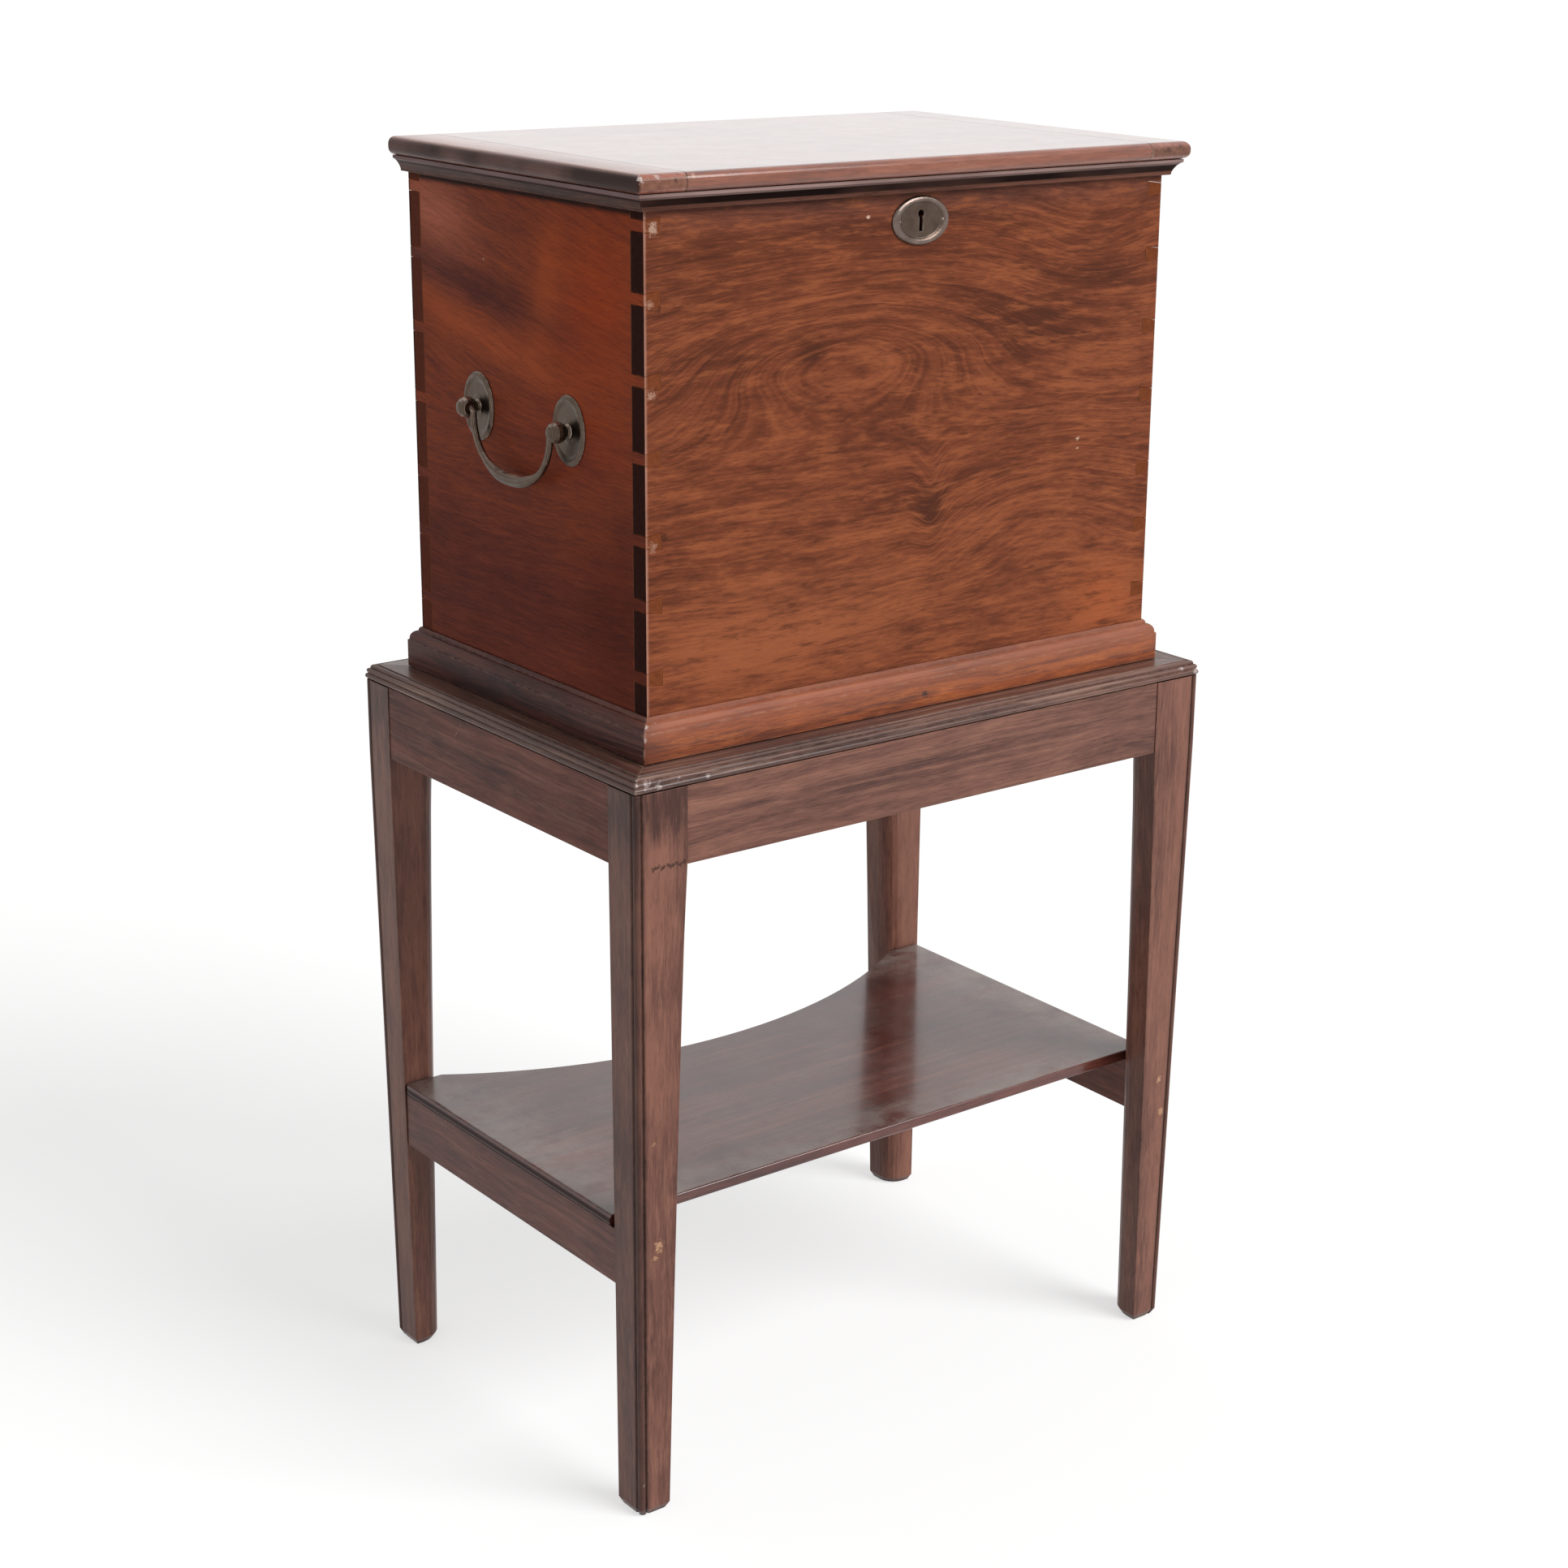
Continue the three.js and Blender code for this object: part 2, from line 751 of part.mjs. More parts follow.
function addWalls() {
  const keyway = keyhole(-halfDepth - cutOverrun, -innerHalfDepth, wallHeight - escutcheonDrop);
  const shank = postShankRadius + runningGap;
  const outer = -halfWidth - cutOverrun;
  const inner = -innerHalfWidth + cutOverrun;
  const shankHoles = boringPlaces.map((y) => rodX(shank, outer, inner, y, handleHeight));
  const sideBoard = cut(pinBoard(), ...shankHoles);
  const backBoard = cut(mirrored(tailBoard(), 1, -1), ...hingePlaces.map(([, x]) => hingeRecess(x)));
  const walls = [
    ["case_front", cut(tailBoard(), lockRecess(), keyway), frontMahogany],
    ["case_back", backBoard, sideMahogany],
    ["case_left", sideBoard, sideMahogany],
    ["case_right", mirrored(sideBoard, -1, 1), sideMahogany],
  ];
  for (const [name, geometry, material] of walls) {
    piece(chest, name, geometry, material).position.z = wallBottom;
  }
}
addWalls();

function addBottom() {
  const board = block(-halfWidth, halfWidth, -halfDepth, halfDepth, 0, bottomThickness);
  piece(chest, "case_bottom", board, innerWood);
}
addBottom();

// Chest: base moulding, mitred round the foot of the walls

function plinthOutline() {
  const topHeight = plinthHeight - plinthFaceHeight;
  const worked = plinthTopShares.map(([out, up]) => {
    return at(out * plinthProjection, plinthFaceHeight + up * topHeight);
  });
  return [
    at(glueLine, 0),
    at(plinthProjection, 0),
    at(plinthProjection, plinthFaceHeight),
    ...worked,
    at(glueLine, plinthHeight),
  ];
}
addFrame(chest, "plinth", plinthOutline(), halfWidth, halfDepth, 0, plinthMahogany);

// Chest: bottle dividers, halved together where they cross

const cellWidth = (2 * innerHalfWidth - (columns - 1) * dividerThickness) / columns;
const cellDepth = (2 * innerHalfDepth - (rows - 1) * dividerThickness) / rows;

// Middles of the dividers between equal cells
function dividerPlaces(count, cell, half) {
  const places = [];
  for (let i = 1; i < count; i += 1) {
    places.push(i * (cell + dividerThickness) - dividerThickness / 2 - half);
  }
  return places;
}

// A divider along X with a notch at each place, cut from the top edge or from the lower one
function divider(halfLength, places, fromTop) {
  const half = dividerThickness / 2;
  const board = block(-halfLength, halfLength, -half, half, 0, dividerHeight);
  const middle = dividerHeight / 2;
  const low = fromTop ? middle - glueLine / 2 : -cutOverrun;
  const high = fromTop ? dividerHeight + cutOverrun : middle + glueLine / 2;
  const reach = half + runningGap;
  const notches = places.map((x) => {
    return block(x - reach, x + reach, -half - cutOverrun, half + cutOverrun, low, high);
  });
  return cut(board, ...notches);
}

function addDividers() {
  const acrossX = dividerPlaces(columns, cellWidth, innerHalfWidth);
  const acrossY = dividerPlaces(rows, cellDepth, innerHalfDepth);
  const long = divider(innerHalfWidth - runningGap, acrossX, true);
  const short = divider(innerHalfDepth - runningGap, acrossY, false);
  const base = bottomThickness + glueLine;
  acrossY.forEach((y, i) => {
    piece(chest, `divider_long_${i + 1}`, long, innerWood).position.set(0, y, base);
  });
  acrossX.forEach((x, i) => {
    const mesh = piece(chest, `divider_cross_${i + 1}`, short, innerWood);
    mesh.rotation.z = Math.PI / 2;
    mesh.position.set(x, 0, base);
  });
}
addDividers();

// Lid: a board between two cleats, rounded on its front and ends

function lidSlab() {
  const wide = lidHalfWidth + cutOverrun;
  const section = roundedSection(lidFront, lidBack, lidThickness, lidNoseRadius, lidBackRadius);
  const ends = roundedSection(-lidHalfWidth, lidHalfWidth, lidThickness, lidNoseRadius, lidNoseRadius);
  return common(alongX(section, -wide, wide), alongY(ends, lidFront - cutOverrun, lidBack + cutOverrun));
}

function tongue(x0, x1, grow) {
  const half = tongueThickness / 2 + grow;
  const middle = lidThickness / 2;
  const start = lidFront + tongueStop - grow;
  const end = lidBack - tongueStop + grow;
  return block(x0, x1, start, end, middle - half, middle + half);
}

// Room for the lid's leaf and for the barrel, open to the back. Its origin is on the lid's underside.
function lidHingeRecess(x) {
  const half = hingeLength / 2 + runningGap;
  const near = -hingeAxisOut - hingeLeafDepth - glueLine;
  const ceiling = leafSeat + hingeLeafThickness + glueLine;
  const leaf = block(-half, half, near, 0, -cutOverrun, ceiling);
  const behind = block(-half, half, 0, lidBackOverhang + cutOverrun, -cutOverrun, barrelClearRadius);
  const recess = join(leaf, behind, rodX(barrelClearRadius, -half, half, 0, 0));
  return recess.translate(x, hingeAxisY, -leafSeat);
}

function linkPlateRecess() {
  const half = linkPlateLength / 2 + glueLine;
  const reach = linkPlateDepth / 2 + glueLine;
  const ceiling = linkPlateThickness + glueLine;
  return block(-half, half, lockMiddleY - reach, lockMiddleY + reach, -cutOverrun, ceiling);
}

function addLidBoards() {
  const slab = lidSlab();
  const seam = lidHalfWidth - cleatWidth;
  const seamHalf = seam - glueLine / 2;
  const front = lidFront - cutOverrun;
  const back = lidBack + cutOverrun;
  const top = lidThickness + cutOverrun;
  const middle = common(slab, block(-seamHalf, seamHalf, front, back, -cutOverrun, top));
  const tongues = tongue(-seam - tongueLength, seam + tongueLength, 0);
  const recesses = [...hingePlaces.map(([, x]) => lidHingeRecess(x)), linkPlateRecess()];
  piece(lid, "lid_panel", cut(join(middle, tongues), ...recesses), lidMahogany);
  const outer = -lidHalfWidth - cutOverrun;
  const end = common(slab, block(outer, -seam - glueLine / 2, front, back, -cutOverrun, top));
  const groove = tongue(-seam - tongueLength - glueLine, cutOverrun - seam, glueLine);
  const cleat = cut(end, groove);
  piece(lid, "lid_cleat_left", cleat, lidMahogany);
  piece(lid, "lid_cleat_right", mirrored(cleat, -1, 1), lidMahogany);
}
addLidBoards();

// Lid: cove moulding under the front and end edges. It closes outside the chest's walls.

function coveOutline() {
  const toeOut = coveCaseGap + coveToeWidth;
  const foot = at(toeOut, coveToeHeight - coveDepth);
  const head = at(coveProjection - coveArris, -coveFilletHeight);
  const middle = foot.clone().lerp(head, 1 / 2);
  const bend = middle.lerp(at(foot.x, head.y), coveBendShare);
  const hollow = new THREE.QuadraticBezierCurve(foot, bend, head);
  return [
    at(coveCaseGap, -coveDepth),
    at(toeOut, -coveDepth),
    ...hollow.getPoints(arcFacets),
    at(coveProjection, -coveFilletHeight),
    at(coveProjection, -glueLine),
    at(coveCaseGap, -glueLine),
  ];
}

function addLidMouldings() {
  const outline = coveOutline();
  const front = moulding(outline, -halfWidth, halfWidth, true, true);
  const left = moulding(outline, -lidBack, halfDepth, false, true);
  const right = moulding(outline, -halfDepth, lidBack, true, false);
  piece(lid, "lid_moulding_front", front, lidMahogany).position.y = -halfDepth;
  const leftMesh = piece(lid, "lid_moulding_left", left, lidMahogany);
  leftMesh.rotation.z = -Math.PI / 2;
  leftMesh.position.x = -halfWidth;
  const rightMesh = piece(lid, "lid_moulding_right", right, lidMahogany);
  rightMesh.rotation.z = Math.PI / 2;
  rightMesh.position.x = halfWidth;
}
addLidMouldings();

// Butt hinges, let in flush between the back board and the lid

function knuckle(index, grow, radius) {
  const pitch = hingeLength / hingeKnuckles;
  const start = index * pitch - hingeLength / 2;
  return rodX(radius, start + glueLine / 2 - grow, start + pitch - glueLine / 2 + grow, 0, 0);
}

// One leaf about the hinge axis: side -1 is the chest's, with the odd knuckles, and 1 the lid's.
function leafGeometry(side) {
  const near = -hingeAxisOut - hingeLeafDepth;
  const low = side < 0 ? -leafSeat - hingeLeafThickness : leafSeat;
  let leaf = block(-hingeLength / 2, hingeLength / 2, near, 0, low, low + hingeLeafThickness);
  for (let i = 0; i < hingeKnuckles; i += 1) {
    const own = (i % 2 === 0) === (side < 0);
    leaf = own
      ? join(leaf, knuckle(i, 0, hingeBarrelRadius))
      : cut(leaf, knuckle(i, glueLine, barrelClearRadius));
  }
  const bore = hingePinRadius + runningGap;
  const reach = hingeLength / 2 + cutOverrun;
  return cut(leaf, rodX(bore, -reach, reach, 0, 0));
}

function addHinges() {
  const axisInChest = caseHeight + leafSeat;
  const chestLeaf = leafGeometry(-1);
  const lidLeaf = leafGeometry(1);
  const pin = rodX(hingePinRadius, -hingeLength / 2, hingeLength / 2, 0, 0);
  for (const [name, x] of hingePlaces) {
    const onChest = piece(chest, `hinge_${name}_case_leaf`, chestLeaf, lockBrass);
    onChest.position.set(x, hingeAxisY, axisInChest);
    const onLid = piece(lid, `hinge_${name}_lid_leaf`, lidLeaf, lockBrass);
    onLid.position.set(x, hingeAxisY, -leafSeat);
    const hingePin = piece(chest, `hinge_${name}_pin`, pin, iron);
    hingePin.position.set(x, hingeAxisY, axisInChest);
  }
}
addHinges();

// Lock: case and top plate, sliding bolt, and the link plate with its staple on the lid

const pocketHalfX = stapleThickness / 2 + stapleSwingGap;
const boltRestEnd = stapleOffset - pocketHalfX - boltClear;

function lockCaseGeometry() {
  const half = lockWidth / 2;
  const inner = -innerHalfDepth;
  const plateTop = -glueLine;
  const body = block(-half, half, inner - lockDepth, inner, -lockHeight, plateTop);
  const plate = block(-half, half, inner - lockTopPlateWidth, inner, -lockTopPlateThickness, plateTop);
  const pocket = block(
    stapleOffset - pocketHalfX,
    stapleOffset + pocketHalfX,
    lockMiddleY - stapleDepth / 2 - stapleSwingGap,
    lockMiddleY + stapleDepth / 2 + stapleSwingGap,
    -stapleDrop - stapleSwingGap,
    cutOverrun,
  );
  const channel = block(
    boltRestEnd - boltLength - runningGap,
    boltRestEnd + boltTravel + runningGap,
    lockMiddleY - boltDepth / 2 - runningGap,
    lockMiddleY + boltDepth / 2 + runningGap,
    -boltDrop - boltHeight / 2 - runningGap,
    -boltDrop + boltHeight / 2 + runningGap,
  );
  const keyStart = inner - lockDepth - cutOverrun;
  const keyEnd = keyStart + cutOverrun + keyBoreDepth;
  return cut(join(body, plate), pocket, channel, keyhole(keyStart, keyEnd, -escutcheonDrop));
}

function boltGeometry() {
  const halfDepthOfBolt = boltDepth / 2;
  const halfHeightOfBolt = boltHeight / 2;
  return block(
    boltRestEnd - boltLength,
    boltRestEnd,
    lockMiddleY - halfDepthOfBolt,
    lockMiddleY + halfDepthOfBolt,
    -boltDrop - halfHeightOfBolt,
    -boltDrop + halfHeightOfBolt,
  );
}

function linkPlateGeometry() {
  const half = linkPlateLength / 2;
  const reach = linkPlateDepth / 2;
  const plate = block(-half, half, lockMiddleY - reach, lockMiddleY + reach, 0, linkPlateThickness);
  const staple = block(
    stapleOffset - stapleThickness / 2,
    stapleOffset + stapleThickness / 2,
    lockMiddleY - stapleDepth / 2,
    lockMiddleY + stapleDepth / 2,
    -stapleDrop,
    linkPlateThickness,
  );
  const eyeMiddle = -lidSeatGap - boltDrop;
  const eye = block(
    stapleOffset - stapleThickness,
    stapleOffset + stapleThickness,
    lockMiddleY - boltDepth / 2 - runningGap,
    lockMiddleY + boltDepth / 2 + runningGap,
    eyeMiddle - boltHeight / 2 - runningGap,
    eyeMiddle + boltHeight / 2 + runningGap,
  );
  return cut(join(plate, staple), eye);
}

function addLock() {
  piece(chest, "lock_case", lockCaseGeometry(), lockBrass).position.z = caseHeight;
  piece(chest, "lock_bolt", boltGeometry(), iron).position.z = caseHeight;
  piece(lid, "lock_link_plate", linkPlateGeometry(), lockBrass);
}
addLock();

// Escutcheon: an oval plate with a raised rim, pierced for the key

// A round plate about X from a table of (radius share, height share), drawn in to an oval across Z
function ovalPlate(shares, width, height, thickness) {
  const edge = shares.map(([radius, rise]) => at((radius * width) / 2, rise * thickness));
  const profile = [at(0, edge[0].y), ...edge, at(0, 0)];
  return turnedX(profile.reverse(), plateFacets).scale(1, 1, height / width);
}

function addEscutcheon() {
  const plate = ovalPlate(escutcheonShares, escutcheonWidth, escutcheonHeight, escutcheonThickness);
  plate.rotateZ(-Math.PI / 2);
  const hole = keyhole(-escutcheonThickness - cutOverrun, cutOverrun, 0);
  const mesh = piece(chest, "escutcheon", cut(plate, hole), agedBrass);
  mesh.position.set(0, -halfDepth - glueLine, caseHeight - escutcheonDrop);
}
addEscutcheon();

// Carrying handles, made with +X outward and their origin on the chest's side face

function backPlateGeometry() {
  const plate = ovalPlate(plateShares, handlePlateWidth, handlePlateHeight, handlePlateThickness);
  const reach = handlePlateThickness + cutOverrun;
  return cut(plate, rodX(postShankRadius + runningGap, -reach, reach, 0, 0)).translate(glueLine, 0, 0);
}

// A post: shank, collar, neck and round head. The head has a flat inner cheek, bored for the bail's end.
function postGeometry() {
  const shankEnd = -sideThickness - nutThickness - postShankRadius;
  const collarFoot = plateMiddleHeight + 2 * glueLine;
  const collarTop = collarFoot + postCollarHeight;
  const neckTurn = THREE.MathUtils.radToDeg(Math.asin(postNeckRadius / postKnobRadius));
  const head = arc(0, postReach, postKnobRadius, neckTurn - 90, 90, postHeadFacets);
  const profile = [
    at(0, shankEnd),
    at(postShankRadius, shankEnd),
    at(postShankRadius, collarFoot),
    at(postCollarRadius, collarFoot),
    at(postNeckRadius, collarTop),
    ...head,
  ];
  profile[profile.length - 1].x = 0;
  const outside = postKnobRadius + cutOverrun;
  const cheek = block(0, postReach + outside, -outside, -postCheek, -outside, outside);
  const bore = rodY(bailPintleRadius + runningGap, -outside, bailEndPlay - bailPintleEnd, postReach, 0);
  return cut(turnedX(profile, postFacets), cheek, bore);
}

function nutGeometry() {
  const half = nutSize / 2;
  const outer = -sideThickness - glueLine;
  const inner = outer - nutThickness;
  const nut = block(inner, outer, -half, half, -half, half);
  return cut(nut, rodX(postShankRadius + runningGap, inner - cutOverrun, outer + cutOverrun, 0, 0));
}

// The bail: a swelling rod along one curve, with a pintle at each end
function bailGeometry() {
  const halfSpan = handleBoring / 2 - postCheek - runningGap - bailArmRadius;
  const tip = handleBoring / 2 - bailPintleEnd;
  const side = bailShares.map(([out, down]) => at(out * halfSpan, down * bailDrop));
  const shoulder = at(halfSpan + bailArmRadius, 0);
  const half = [at(tip, 0), at((tip + shoulder.x) / 2, 0), shoulder, ...side];
  const otherHalf = half.map((spot) => at(-spot.x, spot.y)).reverse();
  const curve = new THREE.SplineCurve([...half, at(0, -bailDrop), ...otherHalf]);
  const section = arc(0, 0, 1, 0, 360 - 360 / bailFacets, bailFacets - 1);
  const levels = Array.from({ length: bailSteps + 1 }, (_, i) => i);
  return loft(section, levels, (across, out, i) => {
    const share = i / bailSteps;
    const centre = curve.getPointAt(share);
    const tangent = curve.getTangentAt(share);
    const span = Math.abs(centre.x) / halfSpan;
    const grip = 1 - THREE.MathUtils.smoothstep(span, gripShare, armShare);
    const pintle = THREE.MathUtils.smoothstep(span, 1, shoulder.x / halfSpan);
    const arm = THREE.MathUtils.lerp(bailArmRadius, bailPintleRadius, pintle);
    const radius = THREE.MathUtils.lerp(arm, bailGripRadius, grip);
    const y = centre.x + across * radius * -tangent.y;
    const z = centre.y + across * radius * tangent.x;
    return new THREE.Vector3(postReach + out * radius, y, z);
  });
}

function addHandles() {
  const plate = backPlateGeometry();
  const post = postGeometry();
  const nut = nutGeometry();
  const bail = bailGeometry();
  for (const [name, side] of [["left", -1], ["right", 1]]) {
    const handle = new THREE.Group();
    handle.position.set(side * halfWidth, 0, wallBottom + handleHeight);
    handle.rotation.z = side < 0 ? Math.PI : 0;
    chest.add(handle);
    for (const y of boringPlaces) {
      const place = y * side < 0 ? "front" : "back";
      piece(handle, `handle_${name}_plate_${place}`, plate, agedBrass).position.y = y;
      piece(handle, `handle_${name}_nut_${place}`, nut, iron).position.y = y;
      const postMesh = piece(handle, `handle_${name}_post_${place}`, post, agedBrass);
      postMesh.position.y = y;
      postMesh.rotation.x = y > 0 ? 0 : Math.PI;
    }
    piece(handle, `handle_${name}_bail`, bail, agedBrass);
  }
}
addHandles();

export default root;
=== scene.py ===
import math

import bpy
from mathutils import Matrix, Vector


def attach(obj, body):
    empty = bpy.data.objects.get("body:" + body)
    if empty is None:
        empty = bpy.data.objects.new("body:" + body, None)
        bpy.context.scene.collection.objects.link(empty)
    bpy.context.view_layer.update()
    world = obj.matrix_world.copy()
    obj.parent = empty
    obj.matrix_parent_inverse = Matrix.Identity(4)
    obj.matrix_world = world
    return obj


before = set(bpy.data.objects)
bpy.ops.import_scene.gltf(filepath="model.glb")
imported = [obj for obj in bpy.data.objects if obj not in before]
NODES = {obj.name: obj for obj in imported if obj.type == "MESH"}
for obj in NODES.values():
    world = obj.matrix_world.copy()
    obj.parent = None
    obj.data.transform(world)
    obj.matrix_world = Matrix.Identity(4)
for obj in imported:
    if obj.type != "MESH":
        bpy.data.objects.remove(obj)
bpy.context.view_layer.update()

MM = 0.001
SIDES = (("left", -1), ("right", 1))

# Places on the CAD pieces, in metres
STAND_HALF_WIDTH = 0.2462
STAND_HALF_DEPTH = 0.1692
APRON_BOTTOM = 0.465
LEG_LEAN = 6 * MM
QUIRK_FAR = -7.5 * MM
QUIRK_NEAR = -5.5 * MM
ESCUTCHEON_HEIGHT = 0.8544
ESCUTCHEON_HALF_WIDTH = 23.5 * MM
ESCUTCHEON_HALF_HEIGHT = 15.75 * MM
HINGE_HEIGHT = 0.88355
FRONT_FACE = -0.139
INNER_HALF_WIDTH = 0.2044
INNER_HALF_DEPTH = 0.1254

# Small fasteners
PIN_SHIFT = 18.2 * MM
PIN_FRONT = -140.4 * MM
PIN_RADIUS = 1.2 * MM
PIN_RISE = 0.7 * MM
PIN_SEGMENTS = 20
PIN_RINGS = 10
SCREW_RISE = 0.08 * MM
SLOT_HALF_ANGLE = 0.12
HEAD_STEPS = 12
HINGE_SHIFT = 125 * MM
HINGE_SCREW_SHIFTS = (-17 * MM, 0.0, 17 * MM)
HINGE_SCREW_LINE = 132.2 * MM
HINGE_SCREW_RADIUS = 2.3 * MM
LINK_SCREW_SHIFTS = (-18 * MM, 4 * MM)
LINK_SCREW_LINE = -129.5 * MM
LINK_SCREW_RADIUS = 1.9 * MM
LOCK_SCREW_SHIFTS = (-26 * MM, 26 * MM)
LOCK_SCREW_LINE = -131.0 * MM
LOCK_SCREW_RADIUS = 2.0 * MM
LEAF_GAP = 0.17 * MM
LOCK_PLATE_DROP = 0.34 * MM

# Rounding of the worked edges
WELD_REACH = 0.01 * MM
HARD_ANGLE = math.radians(32)
CRISP_EDGE = 0.12 * MM
LID_EDGE = 0.7 * MM
WORN_EDGE = 0.45 * MM
EDGE_SEGMENTS = 2

# How far rubbing with its painted highlight, dirt, and grime with painted shade reach from edges and seams,
# and how deep pores and pits are
RUB_REACH = 1.6 * MM
MARGIN_REACH = 5 * MM
SEAM_REACH = 7 * MM
METAL_RUB_REACH = 1.0 * MM
POCKET_REACH = 3 * MM
GRAIN_DEPTH = 0.25 * MM
PIT_DEPTH = 0.12 * MM

# Rays that feel for an edge or a seam
PROBES = 4

# Patterns in a board, in waves per metre along it, across it and through it
DRIFT = (6, 16, 14)
WAVER = (28, 60, 50)
BROAD = (3.5, 42, 30)
MIDDLING = (11, 150, 120)
FINE = (45, 640, 500)
DASHES = (150, 1100, 900)
RINGS = (2.2, 260, 160)
FLECKS = (34, 190, 160)
PORES = (110, 1500, 1300)

# Patterns that don't follow the grain, in waves per metre on every axis
PATCHES = (11, 11, 11)
DUST_DRIFTS = (30, 30, 30)
END_GRAIN = (300, 300, 300)

# Dust on the shelf thickens between these distances from its middle
DUST_BORDER_X = (0.175, 0.232)
DUST_BORDER_Y = (0.095, 0.128)

# Light and floor
AMBIENT = 0.4
AMBIENT_COLOR = (1.0, 0.99, 0.98)
KEY = 2.45
KEY_DIRECTION = (0.9, -2.0, 1.7)
KEY_SPREAD = 35
WHITE = (1.0, 1.0, 1.0)
FLOOR_SIZE = 90
FLOOR_LIT = (0.7, 0.7, 0.7)
FLOOR_SEEN = (0.5, 0.5, 0.5)
FLOOR_GLOW = 0.6

# Camera of the photograph: focal length and centre in pixels of its 1932 x 1932 frame
FRAME_PIXELS = 1932
FOCAL_PIXELS = 3534.195
CENTRE_X = 1063.745
CENTRE_Y = 958.809
SENSOR = 36.0
CAMERA_PLACE = (-1.201437, -1.579162, 1.069138)
AZIMUTH = 0.67886
ELEVATION = 0.30641
ROLL = 0.01614
CLIP_END = 200


# Shader nodes of a material or a world, by short names
class Tree:
    def __init__(self, owner):
        self.owner = owner
        owner.use_nodes = True
        self.nodes = owner.node_tree.nodes
        self.links = owner.node_tree.links
        self.nodes.clear()

    def put(self, socket, value):
        if isinstance(value, bpy.types.NodeSocket):
            self.links.new(value, socket)
        elif socket.type == "RGBA":
            socket.default_value = (*value, 1.0)
        else:
            socket.default_value = value

    def node(self, kind, values=None, **settings):
        made = self.nodes.new("ShaderNode" + kind)
        for key, value in settings.items():
            setattr(made, key, value)
        for key, value in (values or {}).items():
            self.put(made.inputs[key], value)
        return made

    def math(self, operation, a, b=0.0, c=0.0):
        made = self.node("Math", operation=operation)
        for socket, value in zip(made.inputs, (a, b, c)):
            self.put(socket, value)
        return made.outputs[0]

    def add(self, *terms):
        total = terms[0]
        for term in terms[1:]:
            total = self.math("ADD", total, term)
        return total

    def times(self, *terms):
        total = terms[0]
        for term in terms[1:]:
            total = self.math("MULTIPLY", total, term)
        return total

    # A noise brought to swing evenly about 0 over this width
    def swing(self, noise, width):
        return self.math("MULTIPLY_ADD", noise, width, -width / 2)

    def remap(self, value, low, high, to_low=0.0, to_high=1.0, smooth=False):
        made = self.node("MapRange", clamp=True)
        made.interpolation_type = "SMOOTHSTEP" if smooth else "LINEAR"
        for socket, entry in zip(made.inputs, (value, low, high, to_low, to_high)):
            self.put(socket, entry)
        return made.outputs[0]

    def mix(self, factor, a, b):
        made = self.node("Mix", data_type="RGBA")
        for index, value in ((0, factor), (6, a), (7, b)):
            self.put(made.inputs[index], value)
        return made.outputs[2]

    def vector(self, x, y, z):
        return self.node("CombineXYZ", {"X": x, "Y": y, "Z": z}).outputs[0]

    def stretch(self, vector, scale, place=(0, 0, 0)):
        return self.node("Mapping", {"Vector": vector, "Scale": scale, "Location": place}).outputs[0]

    def noise(self, vector, scale=1.0, detail=3.0, roughness=0.55):
        values = {"Vector": vector, "Scale": scale, "Detail": detail, "Roughness": roughness}
        return self.node("TexNoise", values).outputs[0]

    def ramp(self, factor, *stops):
        made = self.node("ValToRGB", {"Fac": factor})
        elements = made.color_ramp.elements
        while len(elements) < len(stops):
            elements.new(0.5)
        for element, (place, color) in zip(elements, stops):
            element.position = place
            element.color = (*color, 1.0)
        return made.outputs[0]

    def bump(self, height, strength, distance):
        return self.node("Bump", {"Height": height, "Strength": strength, "Distance": distance}).outputs[0]

    def place(self):
        return self.node("TexCoord").outputs["Object"]

    def outward(self):
        return self.axes(self.node("TexCoord").outputs["Normal"])

    def axes(self, vector):
        return dict(zip("xyz", self.node("SeparateXYZ", {"Vector": vector}).outputs))

    # 0 on flat ground, up to 1 on an outer edge
    def edge(self, radius, low=0.97, high=0.8):
        rounded = self.node("Bevel", {"Radius": radius}, samples=PROBES).outputs[0]
        flat = self.node("NewGeometry").outputs["True Normal"]
        product = self.node("VectorMath", operation="DOT_PRODUCT")
        self.put(product.inputs[0], rounded)
        self.put(product.inputs[1], flat)
        return self.remap(product.outputs["Value"], low, high)

    # 0 in the open, up to 1 deep in a corner or seam
    def crevice(self, distance, low=0.75, high=0.3):
        open_share = self.node("AmbientOcclusion", {"Distance": distance}, samples=PROBES).outputs["AO"]
        return self.remap(open_share, low, high)

    # 1 for a ray that looks at the thing or mirrors it, 0 for one that gathers light from it
    def seen(self):
        rays = self.node("LightPath").outputs
        looked_at = self.math("MAXIMUM", rays["Is Camera Ray"], rays["Is Glossy Ray"])
        return self.math("MAXIMUM", looked_at, rays["Is Transmission Ray"])

    def choose(self, factor, a, b):
        made = self.node("MixShader")
        for socket, source in zip(made.inputs, (factor, a, b)):
            self.links.new(source, socket)
        return made.outputs[0]

    def finish(self, shader, kind="OutputMaterial"):
        self.links.new(shader, self.node(kind).inputs[0])
        return self.owner


def srgb(r, g, b):
    return tuple(((v / 255 + 0.055) / 1.055) ** 2.4 if v > 10 else v / 3294 for v in (r, g, b))


def shade(color, share):
    return tuple(v * share for v in color)


# Near black for grime and painted shade in seams and corners
SEAM_DIRT_AND_SHADE = srgb(20, 11, 9)
QUIRK_DARK = srgb(34, 20, 18)
DUST = srgb(138, 126, 120)
BARE_DARK = srgb(96, 62, 42)
BARE_LIGHT = srgb(132, 92, 62)


